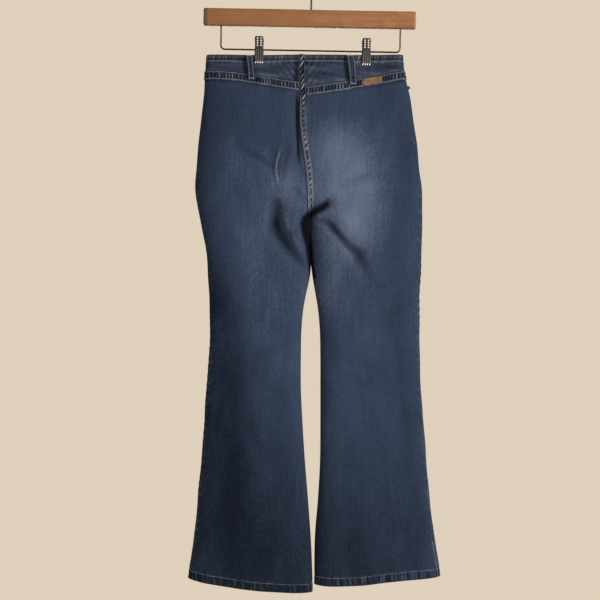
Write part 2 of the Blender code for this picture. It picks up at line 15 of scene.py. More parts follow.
import bpy
import numpy as np
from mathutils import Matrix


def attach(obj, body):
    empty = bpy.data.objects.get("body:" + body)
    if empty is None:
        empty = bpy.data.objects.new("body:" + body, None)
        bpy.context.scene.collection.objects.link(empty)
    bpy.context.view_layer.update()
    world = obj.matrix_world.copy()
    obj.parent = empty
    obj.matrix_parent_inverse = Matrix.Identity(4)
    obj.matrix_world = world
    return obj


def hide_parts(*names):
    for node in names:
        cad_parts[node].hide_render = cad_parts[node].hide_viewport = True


MM = 0.001
SHARP = math.radians(50)  # a bend past this shows as an edge
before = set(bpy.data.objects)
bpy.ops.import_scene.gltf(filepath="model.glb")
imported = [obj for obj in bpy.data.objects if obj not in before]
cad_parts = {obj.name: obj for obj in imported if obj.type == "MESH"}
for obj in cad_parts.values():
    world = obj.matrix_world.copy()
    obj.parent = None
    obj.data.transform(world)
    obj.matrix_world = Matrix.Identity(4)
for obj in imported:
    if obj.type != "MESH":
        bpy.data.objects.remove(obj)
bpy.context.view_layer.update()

# %% [markdown]
# ## The cloth's own measures
#
# A tailor works from a table of widths. So does this script: the outline of both legs from behind, how far the cloth
# bows out behind and in front, and the line on which the yoke is sewn to the legs. A smooth curve goes through each
# column of a table, so a few rows give a flowing edge.


# %% Tables of sizes
def smooth_table(columns, rows):
    """A curve through each column of a table: between two rows a cubic that keeps the slope of its neighbours."""
    names, table = columns.split(), np.array(rows, float)

    def curve(name, at):
        xs, ys = table[:, 0], table[:, names.index(name)]
        at = np.asarray(at, float)
        slopes = np.gradient(ys, xs)
        k = np.clip(np.searchsorted(xs, at) - 1, 0, len(xs) - 2)
        step = xs[k + 1] - xs[k]
        t = np.clip((at - xs[k]) / step, 0.0, 1.0)
        start = ys[k] * (1 + 2 * t) * (1 - t) ** 2 + slopes[k] * step * t * (1 - t) ** 2
        end = ys[k + 1] * t * t * (3 - 2 * t) - slopes[k + 1] * step * t * t * (1 - t)
        return start + end

    return curve


OUTLINE = (
    (160, 189.7, 18.9, 18.9, -163.8),
    (203, 192.6, 18.4, 18.4, -167.2),
    (240, 194.6, 16.2, 16.2, -176.0),
    (295, 201.6, 15.4, 15.4, -184.1),
    (338, 205.2, 10.4, 10.4, -189.4),
    (370, 207.6, 5.8, 5.8, -192.6),
    (410, 209.6, 2.6, 2.6, -198.0),
    (440, 206.3, 2.2, 2.2, -199.0),
    (467, 200.9, 3.1, 3.1, -198.4),
    (490, 196.2, 2.7, 2.5, -197.5),
    (515, 191.4, 2.3, 2.0, -196.6),
    (540, 188.0, 2.0, 1.5, -195.7),
    (567, 186.4, 3.9, -0.9, -194.8),
    (593, 185.2, 9.6, -5.4, -193.7),
    (622, 184.4, 15.2, -10.2, -193.2),
    (655, 184.0, 18.4, -13.4, -193.1),
    (710, 185.0, 19.8, -14.8, -193.5),
    (765, 189.4, 19.8, -14.8, -196.2),
    (830, 194.5, 16.8, -14.8, -201.0),
    (896, 198.6, 12.6, -14.2, -205.2),
    (964, 205.3, 7.2, -10.5, -212.2),
    (1032, 212.6, 2.2, -5.0, -219.8),
    (1094, 221.0, -0.6, -3.9, -229.4),
    (1140, 225.0, -1.6, -4.1, -232.0),
)
BOW = (
    (160, 7.0, 7.4, 10, 24),
    (203, 12.6, 10.0, 20, 26),
    (250, 17.4, 12.0, 36, 30),
    (340, 24.0, 14.0, 50, 36),
    (410, 27.0, 16.0, 54, 38),
    (467, 24.0, 17.0, 50, 40),
    (540, 20.0, 16.0, 44, 40),
    (640, 16.5, 14.0, 38, 36),
    (760, 15.0, 13.0, 34, 32),
    (900, 16.0, 14.0, 38, 36),
    (1140, 18.0, 16.0, 44, 42),
)
YOKE = (
    (0.00, 204.8, 204.2, 204.5),
    (0.20, 206.2, 211.4, 204.6),
    (0.35, 207.9, 215.4, 205.0),
    (0.50, 211.6, 220.6, 205.9),
    (0.65, 215.6, 226.2, 207.2),
    (0.80, 220.8, 230.0, 208.6),
    (1.00, 226.6, 235.2, 210.2),
)
outline = smooth_table("drop left_outer left_inner right_inner right_outer", OUTLINE)
bow = smooth_table("drop back front outer_round inner_round", BOW)
yoke_line = smooth_table("share back_left back_right front", YOKE)

GAP = 0.3  # between pieces that are sewn together
WAIST_DROP = 167.4
FRONT_DIP = 9.0  # how much lower the waist lies at the middle of the front
SPLIT_START = 375.0  # where the two legs' sections begin to part
CROTCH_START = 410.0  # where the inner edges begin to turn in
CROTCH_DROP = 467.0
KNEE_DROP, CALF_DROP = 600.0, 1080.0  # where the rows of a panel change their spacing
SEAM_X = 19.0  # the seat seam at the waist
LEG_WALL = 1.3
BAND_WALL = 2.4
HEM_TURN = 16.0
HEM_WALL = 3.2
# For each leg: the hem's drop at the side seam and at the inseam, its sag, and how far the sag leans inwards.
HEMS = {"left": (1107.0, 1131.6, 6.5, 1.0), "right": (1103.6, 1118.0, 4.5, 2.0)}
SEAM_WIDTH = 16.0
SEAT_SEAM_WIDTH = 12.0
STRIP = 1.2  # how thick a felled seam stands
CLIPS = {"left": 95.5, "right": -97.2}
CLIP_PINCH = 3.7  # how far out the cloth lies between the jaws
PINCH_HALF, PINCH_DROP, PINCH_BESIDE, PINCH_BELOW = 12, 186, 30, 44  # where it ends, and how softly
PRESS_DROP, PRESS_HALF, PRESS = 508, 46, 0.75  # where the inner edges press together, and how far
TILT = math.radians(-1.06)  # the hanger leans a little
GRAIN_X = 95.0  # where across a leg the grain runs straight down
SIGN = {"left": 1, "right": -1}
FACE = {1: "back", -1: "front"}


def centre_line(drop):
    return (outline("left_inner", drop) + outline("right_inner", drop)) / 2


def yoke_edge(leg, side, share):
    return yoke_line("front" if side < 0 else "back_" + leg, share)


def rising(value, start, end):
    """0 up to start, 1 from end on, and a straight line between them."""
    return np.clip((value - start) / (end - start), 0, 1)


def peak(distance, width, power=2):
    """1 on a line and 0 away from it: exp(-(distance / width)^power)."""
    return np.exp(-((distance / width) ** power))


print("waist", round(float(outline("left_outer", 168) - outline("right_outer", 168))), "mm wide, laid flat")

# %% [markdown]
# ## Folds and creases
#
# Worn denim keeps the folds of the body: whiskers that fan out from the crotch, a deep crease beside the seat seam,
# long soft troughs down the legs. A simulation would lose them, because it starts from smooth cloth. So each is placed
# one by one, as a maker would pinch it in. A fold is a straight line with a width and a height, and a height below zero
# is a trough. A crease is a sharper path that bends, and its width and height change on the way.

# %% Folds, as (x, drop) to (x, drop), width, height
BACK_FOLDS = (
    (-20, 460, -82, 526, 13, -5.0),
    (-82, 526, -98, 576, 12, -3.0),
    (-32, 434, 6, 450, 11, -5.0),
    (-52, 486, -72, 545, 15, 3.0),
    (66, 440, 74, 478, 13, -3.5),
    (74, 478, 22, 538, 13, -4.0),
    (44, 466, 20, 500, 13, 2.5),
    (140, 330, 70, 378, 13, -2.5),
    (69, 346, 64, 414, 9, -3.0),
    (152, 640, 163, 1110, 26, -5.0),
    (112, 780, 104, 1000, 24, 2.5),
    (118, 830, 92, 890, 13, -2.0),
    (-60, 640, -58, 900, 30, 2.0),
    (-150, 700, -176, 1090, 26, -3.5),
    (-92, 900, -100, 1120, 24, 2.5),
    (-110, 404, -40, 416, 11, -1.5),
)
FRONT_FOLDS = (
    (24, 452, 96, 520, 14, -4.5),
    (-18, 452, -84, 514, 14, -4.0),
    (40, 420, 92, 404, 12, -2.5),
    (-34, 418, -88, 402, 12, -2.5),
    (96, 640, 88, 860, 30, 2.5),
    (-104, 660, -100, 900, 30, 2.5),
    (150, 760, 166, 1100, 26, -4.0),
    (60, 860, 48, 1110, 24, -3.0),
    (-152, 720, -172, 1090, 26, -4.0),
    (-62, 880, -50, 1110, 24, -3.0),
)
FOLDS = {1: BACK_FOLDS, -1: FRONT_FOLDS}


def folds(rows, x, drop):
    """The sum of the folds: each is its height times exp(-(distance from its line / width)^2), and ends softly."""
    total = np.zeros(np.broadcast(x, drop).shape)
    for x0, drop0, x1, drop1, width, height in rows:
        long = math.hypot(x1 - x0, drop1 - drop0)
        along = ((x - x0) * (x1 - x0) + (drop - drop0) * (drop1 - drop0)) / long
        apart = ((x - x0) * (drop1 - drop0) - (drop - drop0) * (x1 - x0)) / long
        middle = np.abs(along / long - 0.5) * 2
        past = np.maximum(np.maximum(-along, along - long), 0) + 0.05 * long * middle**4
        total = total + height * np.exp(-((apart / width) ** 2) - (past / (1.3 * width)) ** 2)
    return total


# %% Creases, as paths of (x, drop, half width, height)
BACK_CREASES = (
    ((140, 335, 3, 0), (128, 340, 3.5, -1.4), (101, 352, 4, -1.9), (79, 366, 4, -1.9), (67, 374, 3.5, -0.6)),
    ((134, 328, 6, 0), (101, 341, 7, 0.9), (80, 354, 6, 0.7), (70, 362, 5, 0)),
    ((55, 328, 3, 0), (57, 341, 3, 1.6), (63, 360, 3.2, 2.2), (65, 377, 3.2, 2.0), (62, 397, 3, 1.5), (60, 408, 3, 0)),
    ((45, 322, 5, 0), (47, 342, 6, -1.6), (50, 372, 6, -1.7), (53, 400, 5, 0)),
    ((74, 330, 5, 0), (75, 352, 6, -1.4), (77, 392, 6, 0)),
    ((27.5, 240, 2.5, 0), (27.5, 256, 3.6, -2.6), (26.5, 300, 3.8, -3.0), (24.5, 350, 3.4, -2.4), (23, 368, 3, 0)),
    ((37, 404, 4, 0), (27, 416, 5, -2.2), (18, 427, 4, -0.8)),
    (
        (62, 426, 6, 0), (63, 440, 8, -2.6), (66, 458, 9, -3.6), (66, 474, 9.5, -4.0), (60, 491, 9, -4.0),
        (48, 509, 8, -3.6), (33, 527, 6, -2.6), (18, 542, 5, -1.0), (8, 551, 4, 0),
    ),
    ((50, 446, 5, 0), (47, 468, 5, 1.6), (36, 494, 5, 2.0), (22, 516, 5, 1.3), (12, 530, 4, 0)),
    ((42, 478, 3, 0), (40, 489, 4, -2.4), (36, 501, 3, 0)),
    (
        (-27, 427, 4, -0.8), (-25, 438, 6, -3.6), (-16, 444, 6, -4.6), (-5, 449, 5.5, -4.6), (5, 456, 5.5, -5.0),
        (12, 468, 6, -5.0), (11.5, 487, 6, -5.4), (5.5, 511, 5, -5.0), (2, 538, 4, -4.0), (-1, 566, 3.5, 0),
    ),
    ((-4, 457, 4, 0), (-12, 456, 4, 1.3), (-22, 455, 4, 0)),
    (
        (-4, 463, 3, 0), (-18, 465, 4, -1.8), (-33, 475, 5, -3.6), (-46, 491, 4.5, -4.2), (-61, 507, 5.5, -3.6),
        (-77, 522, 7, -3.2), (-89, 542, 8, -1.6), (-96, 562, 8, 0),
    ),
    ((-40, 510, 10, 0), (-52, 528, 12, 0.6), (-64, 552, 12, 0)),
    ((-36, 414, 5, 0), (-50, 406, 6, -1.4), (-76, 394, 7, -1.6), (-104, 386, 8, -1.0), (-142, 392, 9, 0)),
    ((-56, 414, 9, 0), (-98, 405, 11, 1.1), (-138, 402, 10, 0)),
    ((182, 187, 2.5, 0), (150, 190, 3, -0.7), (120, 189, 3, 0)),
    ((104, 197, 2.5, 0), (76, 196, 3, -0.7), (44, 203, 3, 0)),
    ((46, 178, 3, -0.4), (56, 187, 4, -1.0), (40, 190, 4, -0.6), (58, 206, 4, 0)),
    ((-4, 180, 3, -0.6), (-16, 200, 4, -1.1), (2, 196, 3, -0.6), (-14, 215, 4, -0.4)),
    ((-20, 186, 3, 0), (-40, 191, 3, -0.8), (-62, 190, 3, 0)),
    ((-84, 196, 3, 0), (-110, 190, 3, -0.7), (-160, 184, 3, 0)),
    ((119, 820, 7, 0), (106, 851, 7, -1.4), (93, 882, 7, 0)),
    ((152, 598, 8, 0), (135, 620, 8, -1.2), (118, 642, 8, 0)),
    ((-170, 608, 9, 0), (-144, 631, 9, -1.1), (-118, 654, 9, 0)),
    ((-162, 558, 8, 0), (-139, 575, 8, -1.1), (-116, 592, 8, 0)),
    ((68, 689, 9, 0), (95, 703, 9, -1.0), (122, 717, 9, 0)),
    ((-44, 741, 10, 0), (-83, 756, 10, -1.0), (-122, 771, 10, 0)),
)
FRONT_CREASES = (
    ((24, 447, 5, 0), (58, 436, 6, -1.8), (94, 423, 6, 0)),
    ((26, 462, 5, 0), (68, 461, 6, -2.0), (112, 463, 6, 0)),
    ((-22, 447, 5, 0), (-56, 436, 6, -1.8), (-92, 423, 6, 0)),
    ((-24, 462, 5, 0), (-66, 463, 6, -2.0), (-110, 461, 6, 0)),
    ((22, 474, 5, 0), (54, 500, 6, -2.2), (86, 521, 6, 0)),
    ((-16, 474, 5, 0), (-50, 497, 6, -2.2), (-84, 521, 6, 0)),
    ((2, 456, 5, -2.0), (1, 480, 5, -3.6), (1, 520, 4, -3.4), (0, 560, 4, 0)),
    ((152, 598, 8, 0), (123, 622, 8, -1.3), (94, 642, 8, 0)),
    ((-152, 602, 8, 0), (-123, 620, 8, -1.3), (-94, 642, 8, 0)),
    ((68, 703, 9, 0), (100, 713, 9, -1.1), (132, 723, 9, 0)),
    ((-58, 711, 9, 0), (-94, 722, 9, -1.1), (-130, 731, 9, 0)),
    ((45, 248, 7, 0), (58, 275, 7, -0.9), (71, 302, 7, 0)),
    ((-39, 248, 7, 0), (-53, 276, 7, -0.9), (-67, 302, 7, 0)),
)
CREASES = {1: BACK_CREASES, -1: FRONT_CREASES}


def creases(paths, x, drop):
    """The sum of the paths: each is the strongest of its parts, height times exp(-(distance / half width)^2)."""
    total = np.zeros(np.broadcast(x, drop).shape)
    for path in paths:
        strongest = np.zeros(total.shape)
        for start, end in zip(np.array(path[:-1], float), np.array(path[1:], float)):
            way = end - start
            t = np.clip(((x - start[0]) * way[0] + (drop - start[1]) * way[1]) / (way[0] ** 2 + way[1] ** 2), 0, 1)
            apart = (x - start[0] - t * way[0]) ** 2 + (drop - start[1] - t * way[1]) ** 2
            value = (start[3] + t * way[3]) * np.exp(-apart / (start[2] + t * way[2]) ** 2)
            strongest = np.where(np.abs(value) > np.abs(strongest), value, strongest)
        total = total + strongest
    return total


# Long low waves, as (wavelength across, wavelength down, height, start).
RIPPLES = (
    (210, 155, 0.55, 0.4),
    (-92, 240, 0.40, 2.1),
    (70, 118, 0.30, 4.0),
    (-54, 78, 0.16, 1.2),
    (38, -61, 0.12, 5.1),
)


def ripples(side, x, drop):
    """A sum of slanting sine waves, another set of starts for the back and for the front."""
    total = np.zeros(np.broadcast(x, drop).shape)
    for across, down, height, start in RIPPLES:
        total = total + height * np.sin(2 * math.pi * (x / across + drop / down) + start * (1 + 0.7 * side))
    return total


print(sum(map(len, FOLDS.values())), "folds and", sum(map(len, CREASES.values())), "creases")

# %% [markdown]
# ## One surface for all of the cloth
#
# Above the crotch a leg's section is a quarter round, from the side seam to the centre seam. Below it the section
# closes to half a round, and the leg is a flattened tube. Every panel, seam and loop takes its points from this one
# surface, so what is sewn together also lies together.


# %% The surface of the cloth
def edges(leg, drop):
    """The leg's outer and inner edge. Both legs share the centre line above the crotch, half a gap off it, and just
    below the crotch they press into each other by half a millimetre."""
    drop = np.asarray(drop, float)
    inner = np.where(drop <= CROTCH_DROP, centre_line(drop), outline(leg + "_inner", drop))
    apart = GAP / 2 - PRESS * peak(drop - PRESS_DROP, PRESS_HALF, 6)
    return outline(leg + "_outer", drop), inner + SIGN[leg] * apart


def turn(drop):
    """The angle a section goes through: 90 degrees above the split and 180 below the crotch, eased between them."""
    t = rising(np.asarray(drop, float), SPLIT_START, CROTCH_DROP)
    return math.pi / 2 * (1 + t * t * (3 - 2 * t))


def share_of(u, drop):
    """How far across a point lies, 0 to 1: (1 - cos(angle u)) / (1 - cos(angle)), so points crowd at round edges."""
    angle = turn(drop)
    return (1 - np.cos(angle * u)) / (1 - np.cos(angle))


def u_at(leg, x, drop):
    """The column u whose point lies at x: the way back through share_of."""
    outer, inner = edges(leg, drop)
    angle = turn(drop)
    share = np.clip((x - outer) / (inner - outer), 0, 1)
    return np.arccos(1 - share * (1 - np.cos(angle))) / angle


def edge_wobble(leg, drop):
    """How far the side seam strays: slow waves, and small scallops where the seam puckers."""
    slow = 0.55 * np.sin(drop / 29.0 + (1.0 if leg == "left" else 2.6)) + 0.3 * np.sin(drop / 12.3)
    scallop = 1.2 * np.abs(np.sin(math.pi * drop / 15.0 + 0.4 * np.sin(drop / 21)))
    where = peak(drop - 590, 72, 4) if leg == "right" else peak(drop - 800, 190, 4) * 0.5
    return slow + scallop * where


def cloth(leg, side, u, drop, creased=True):
    """Points of the cloth's outer face. y = (bow + folds) * sqrt(1 - fall^2), where fall rises to 1 at each edge."""
    u, drop = np.broadcast_arrays(np.asarray(u, float), np.asarray(drop, float))
    outer, inner = edges(leg, drop)
    share = share_of(u, drop)
    x = outer + (inner - outer) * share
    outer_fall = np.clip(1 - np.abs(x - outer) / bow("outer_round", drop), 0, 1)
    under = rising(drop, CROTCH_START, CROTCH_DROP)
    inner_fall = np.clip(under - (x - inner) * SIGN[leg] / bow("inner_round", drop), 0, 1)
    round_in = np.sqrt(1 - outer_fall**2) * np.sqrt(1 - inner_fall**2)
    y = bow(FACE[side], drop) + folds(FOLDS[side], x, drop)
    if creased:
        y = y + creases(CREASES[side], x, drop) + ripples(side, x, drop) * rising(drop, 200, 260)
    y = y * round_in
    for clip_x in CLIPS.values():
        beside = np.maximum(np.abs(x - clip_x) - PINCH_HALF, 0) / PINCH_BESIDE
        below = np.maximum(drop - PINCH_DROP, 0) / PINCH_BELOW
        y = y + (CLIP_PINCH - y) * np.exp(-(beside**2) - below**2) * round_in
    x = x + SIGN[leg] * edge_wobble(leg, drop) * rising(drop, 230, 290) * (1 - share) ** 4
    return np.stack([x, side * (y + GAP / 2), -drop], axis=-1)


def cloth_at(leg, side, x, drop, creased=True):
    return cloth(leg, side, u_at(leg, x, drop), drop, creased)


def unit(vectors):
    return vectors / np.maximum(np.linalg.norm(vectors, axis=-1, keepdims=True), 1e-9)


def facing(points, side):
    """Unit normals of a grid: the cross product of its two directions, turned to point away from the inside."""
    normal = unit(np.cross(np.gradient(points, axis=1), np.gradient(points, axis=0)))
    return normal * (1.0 if normal[..., 1].mean() * side > 0 else -1.0)


sample = cloth("left", 1, np.linspace(0, 1, 9), 600.0)
print("a section of the left thigh, x and y in mm:", sample[:, :2].round(1).tolist())

# %% [markdown]
# ## Puckers
#
# A sewn edge shrinks in the wash less than its thread does, so it puckers: broad ridges with sharp valleys between
# them, never quite evenly spaced. The ridges rub pale and the valleys stay dark, which is what makes a seam look worn.
# A run of puckers is a list of valleys with seeded steps, and the height between two of them is a sine to a power.


# %% Puckers along a seam
def puckers(along, start, length, pitch, uneven, seed, power=0.6):
    """0 in a valley and up to 1 on a ridge: sin(pi t)^power times the ridge's own height. A high power is a thin ridge.
    Valleys lie every pitch or so, and uneven says how far the steps between them vary."""
    random = np.random.default_rng(seed)
    steps = pitch * (1 + uneven * random.uniform(-1, 1, int(length / pitch * 1.3) + 8))
    valleys, heights = start - 2 * pitch + np.cumsum(steps), random.uniform(0.45, 1.0, len(steps))
    k = np.clip(np.searchsorted(valleys, along) - 1, 0, len(valleys) - 2)
    t = np.clip((along - valleys[k]) / (valleys[k + 1] - valleys[k]), 0, 1)
    return np.sin(math.pi * t) ** power * heights[k]


# Where runs of puckers start and how long they are: along a hem, the waist, a side seam and the seat seam.
HEM_RUN, WAIST_RUN, SIDE_RUN, SEAT_RUN = (-250, 500), (-200, 420), (200, 1000), (150, 340)
WAIST_RIDGES = (-190, 400, 10.5, 0.35, 11)
print("waist puckers every 5 mm:", puckers(np.arange(0, 40, 5), *WAIST_RIDGES).round(2).tolist())

# %% [markdown]
# ## Nodes
#
# A few short helpers make the material cells readable: one adds a node and fills its inputs with numbers or with
# other nodes' sockets, one does arithmetic, one mixes colours, and one lays a stretched noise over a surface.


# %% Helpers for materials
def add(tree, kind, inputs, **settings):
    """A node of that kind. Inputs go by name or number, and take a number or another node's socket."""
    made = tree.nodes.new(kind)
    for setting, value in settings.items():
        setattr(made, setting, value)
    for name, value in inputs.items():
        if isinstance(value, bpy.types.NodeSocket):
            tree.links.new(value, made.inputs[name])
        else:
            made.inputs[name].default_value = value
    return made


def maths(tree, operation, first, second=0.0, third=0.0):
    return add(tree, "ShaderNodeMath", {0: first, 1: second, 2: third}, operation=operation).outputs[0]


def mixed(tree, factor, first, second, blend="MIX"):
    node = add(tree, "ShaderNodeMix", {0: factor, 6: first, 7: second}, data_type="RGBA", blend_type=blend)
    return node.outputs[2]


def stretched(tree, place, scale):
    return add(tree, "ShaderNodeVectorMath", {0: place, 1: scale}, operation="MULTIPLY").outputs[0]


def noise(tree, place, scale, detail=2.0, rough=0.5):
    """Noise with its own scale along each direction, in cycles per metre."""
    inputs = {"Vector": stretched(tree, place, scale), "Scale": 1.0, "Detail": detail, "Roughness": rough}
    return add(tree, "ShaderNodeTexNoise", inputs).outputs[0]


def ramp(tree, value, low, high, to_low=0.0, to_high=1.0):
    """A straight line from to_low at low, to to_high at high, held level outside them."""
    return add(tree, "ShaderNodeMapRange", {0: value, 1: low, 2: high, 3: to_low, 4: to_high}).outputs[0]


def group(name, inputs, outputs):
    """An empty node group with named sockets. Returns the group, its input node and its output node."""
    made = bpy.data.node_groups.new(name, "ShaderNodeTree")
    for way, sockets in (("INPUT", inputs), ("OUTPUT", outputs)):
        for socket, kind in sockets.items():
            made.interface.new_socket(socket, in_out=way, socket_type="NodeSocket" + kind)
    return made, made.nodes.new("NodeGroupInput"), made.nodes.new("NodeGroupOutput")


def finish(name, roughness, metallic=0.0, **constants):
    """A material with its shader. A constant is set on the shader's own socket."""
    made = bpy.data.materials.new(name)
    made.use_nodes = True
    shader = made.node_tree.nodes["Principled BSDF"]
    for socket, value in dict(constants, Roughness=roughness, Metallic=metallic).items():
        shader.inputs[socket.replace("_", " ")].default_value = value
    return made, made.node_tree, shader


def paint(tree, shader, **values):
    """Links each value to the shader's socket of that name."""
    for socket, value in values.items():
        tree.links.new(value, shader.inputs[socket.replace("_", " ")])


def bump(tree, shader, height, distance, strength=1.0):
    node = add(tree, "ShaderNodeBump", {"Height": height, "Distance": distance, "Strength": strength})
    paint(tree, shader, Normal=node.outputs[0])


def attribute(tree, name):
    return add(tree, "ShaderNodeAttribute", {}, attribute_name=name).outputs["Fac"]


def object_place(tree):
    return add(tree, "ShaderNodeTexCoord", {}).outputs["Object"]


def two_tone(name, roughness, scale, dark, bright, detail=2.0, between=None, **constants):
    """A finish of two colours, mixed by a noise of that scale, made steeper where between gives its two ends."""
    made, tree, shader = finish(name, roughness, **constants)
    cloud = noise(tree, object_place(tree), (scale,) * 3, detail)
    if between:
        cloud = ramp(tree, cloud, *between)
    paint(tree, shader, Base_Color=mixed(tree, cloud, (*dark, 1), (*bright, 1)))
    return made


print("helpers ready")

# %% [markdown]
# ## Washed denim
#
# Denim is a twill of indigo warp and white weft. Only the warp shows, and wear takes the dye from whatever stands up:
# fine vertical streaks where a yarn is thick, and soft pale clouds on the seat and the thighs. The sides and the hems
# are darker, partly from less worn dye and partly from painted shade. The wash is a node group, so the panels and the
# seams share it. It mixes three blues by one number. That number is the piece's painted fade and shade, plus noises
# that are long down the leg and narrow across it, plus the painted wear of edges and folds and the painted shade of the
# deepest folds, which darkens towards black.

# %% The wash
# The wash's noises, as cycles per metre across and down, detail, roughness, and how much each counts.
WASH_NOISES = (
    (560.0, 120.0, 3.0, 0.60, 0.26),  # streaks, where a yarn is thick
    (200.0, 14.0, 2.0, 0.50, 0.18),  # slubs
    (24.0, 14.0, 3.0, 0.55, 0.24),  # clouds
    (760.0, 520.0, 2.0, 0.60, 0.46),  # specks
    (190.0, 140.0, 3.0, 0.60, 0.26),  # mottle
)
TWILL_SHARE, WEAR_SHARE = 0.06, 0.60
WASH_MIDDLE = 0.718  # what the noises and the twill add up to on average
wash, wash_in, wash_out = group(
    "denim_wash",
    {"Deep": "Color", "Indigo": "Color", "Faded": "Color", "Fade": "Float", "Wear_and_light": "Float", "Place": "Vector"},
    {"Color": "Color", "Height": "Float"},
)
place, wear_and_light_in = wash_in.outputs["Place"], wash_in.outputs["Wear_and_light"]
patterns = [noise(wash, place, (across, down, 1.0), detail, rough) for across, down, detail, rough, _ in WASH_NOISES]
# The twill: thin diagonal ribs, a millimetre apart.
ribs = {"Vector": stretched(wash, place, (1000.0, 620.0, 1.0)), "Scale": 0.32, "Distortion": 1.2, "Detail": 1.0}
twill = add(wash, "ShaderNodeTexWave", ribs, wave_type="BANDS", bands_direction="DIAGONAL").outputs["Fac"]
total = wash_in.outputs["Fade"]
for pattern, share in zip([*patterns, twill], [*(row[-1] for row in WASH_NOISES), TWILL_SHARE]):
    total = maths(wash, "MULTIPLY_ADD", pattern, share, total)
total = maths(wash, "SUBTRACT", total, WASH_MIDDLE)
total = maths(wash, "MULTIPLY_ADD", wear_and_light_in, WEAR_SHARE, total)
# The blues are mixed by one number that carries fading, wear and painted shade together.
darker = mixed(wash, ramp(wash, total, 0.0, 0.5), wash_in.outputs["Deep"], wash_in.outputs["Indigo"])
worn = mixed(wash, ramp(wash, total, 0.5, 1.0), darker, wash_in.outputs["Faded"])
# Where a seam rubs, the blue goes before the grey of the yarn.
rubbed_and_painted_light = ramp(wash, maths(wash, "ABSOLUTE", wear_and_light_in), 0.0, 0.35)
worn = mixed(wash, 1.0, worn, mixed(wash, rubbed_and_painted_light, (1.0, 1.0, 1.0, 1.0), (1.18, 1.0, 0.87, 1.0)), "MULTIPLY")
# Far below zero the value marks the deepest folds: painted shade, with some unbleached dye, that darkens the colour
# towards black.
fold_darkening = ramp(wash, wear_and_light_in, -1.5, -0.4, 0.22, 1.0)
fold_darkening_grey = add(wash, "ShaderNodeCombineXYZ", {0: fold_darkening, 1: fold_darkening, 2: fold_darkening}).outputs[0]
wash.links.new(mixed(wash, 1.0, worn, fold_darkening_grey, "MULTIPLY"), wash_out.inputs["Color"])
wash.links.new(maths(wash, "MULTIPLY_ADD", twill, 0.6, patterns[0]), wash_out.inputs["Height"])


def denim(name, deep, indigo, faded_and_shaded, sheen=0.02):
    """Denim that reads the piece's painted values of fading, rubbing and shade, and its own flat map in metres."""
    made, tree, shader = finish(name, 0.9, Sheen_Weight=sheen, Sheen_Roughness=0.5, Specular_IOR_Level=0.06)
    inputs = {"Deep": (*deep, 1.0), "Indigo": (*indigo, 1.0), "Faded": (*faded_and_shaded, 1.0)}
    inputs |= {"Fade": attribute(tree, "fade_and_shade"), "Wear_and_light": attribute(tree, "wear_and_light")}
    inputs["Place"] = add(tree, "ShaderNodeUVMap", {}, uv_map="flat").outputs[0]
    dyed = add(tree, "ShaderNodeGroup", inputs, node_tree=wash)
    paint(tree, shader, Base_Color=dyed.outputs["Color"])
    bump(tree, shader, dyed.outputs["Height"], 0.00022, 0.9)
    return made


denim_cloth = denim("denim_cloth", (0.0070, 0.0113, 0.0225), (0.0335, 0.0500, 0.0910), (0.138, 0.177, 0.260))
denim_yoke = denim("denim_yoke", (0.0083, 0.0113, 0.0204), (0.0378, 0.0492, 0.0820), (0.146, 0.174, 0.247))
denim_seam = denim("denim_seam_cloth", (0.0045, 0.0065, 0.0130), (0.0320, 0.0430, 0.0748), (0.190, 0.229, 0.308))
denim_reverse = denim("denim_reverse", (0.12, 0.15, 0.20), (0.20, 0.24, 0.29), (0.30, 0.34, 0.38), 0.04)
print("denim:", [m.name for m in (denim_cloth, denim_yoke, denim_seam, denim_reverse)])

# %% [markdown]
# ## Thread, leather, wood and metal
#
# The other finishes are smaller. Thread is a pale, dusty blue, and duller where it is worn. The patch is bare tan
# leather with a fine pebble. The bar is oiled wood: its rings run along it, so the grain is noise stretched along X.
# The bar carries painted light, brighter towards the wearer's right. Steel has a soft brushed noise in its roughness,
# and the clips carry a painted white glint on their teeth and bumps.

# %% Thread and leather
STEEP = {"between": (0.35, 0.65)}  # the part of a noise that goes from one colour to the other
thread = two_tone("thread", 0.7, 60.0, (0.125, 0.165, 0.215), (0.235, 0.270, 0.310), Sheen_Weight=0.2, **STEEP)
worn_thread = two_tone("worn_thread", 0.8, 70.0, (0.045, 0.062, 0.088), (0.175, 0.200, 0.240), **STEEP)
brown_thread = two_tone("brown_thread", 0.7, 500.0, (0.030, 0.016, 0.010), (0.075, 0.040, 0.022))

leather, tree, shader = finish("bare_leather", 0.55, Sheen_Weight=0.05)
where = object_place(tree)
blotches = ramp(tree, noise(tree, where, (90, 90, 160), 4.0, 0.6), 0.3, 0.7)
tan = mixed(tree, blotches, (0.145, 0.068, 0.032, 1), (0.27, 0.130, 0.062, 1))
paint(tree, shader, Base_Color=mixed(tree, attribute(tree, "wear_and_light"), tan, (0.13, 0.055, 0.022, 1)))
pebbles = add(tree, "ShaderNodeTexVoronoi", {"Vector": where, "Scale": 900.0}).outputs["Distance"]
bump(tree, shader, pebbles, 0.00015)
print("thread and leather ready")

# %% Wood
wood, tree, shader = finish("oiled_wood", 0.46, Coat_Weight=0.12, Coat_Roughness=0.35)
where = object_place(tree)
along = add(tree, "ShaderNodeSeparateXYZ", {0: where}).outputs[0]
rings = noise(tree, where, (6.0, 150.0, 210.0), 5.0, 0.62)
pores = noise(tree, where, (28.0, 900.0, 1400.0), 2.0, 0.5)
clouds = noise(tree, where, (14.0, 30.0, 40.0), 3.0, 0.5)
figure = noise(tree, where, (30.0, 60.0, 75.0), 3.0, 0.6)
warm = mixed(tree, ramp(tree, rings, 0.30, 0.70), (0.215, 0.084, 0.027, 1), (0.325, 0.135, 0.048, 1))
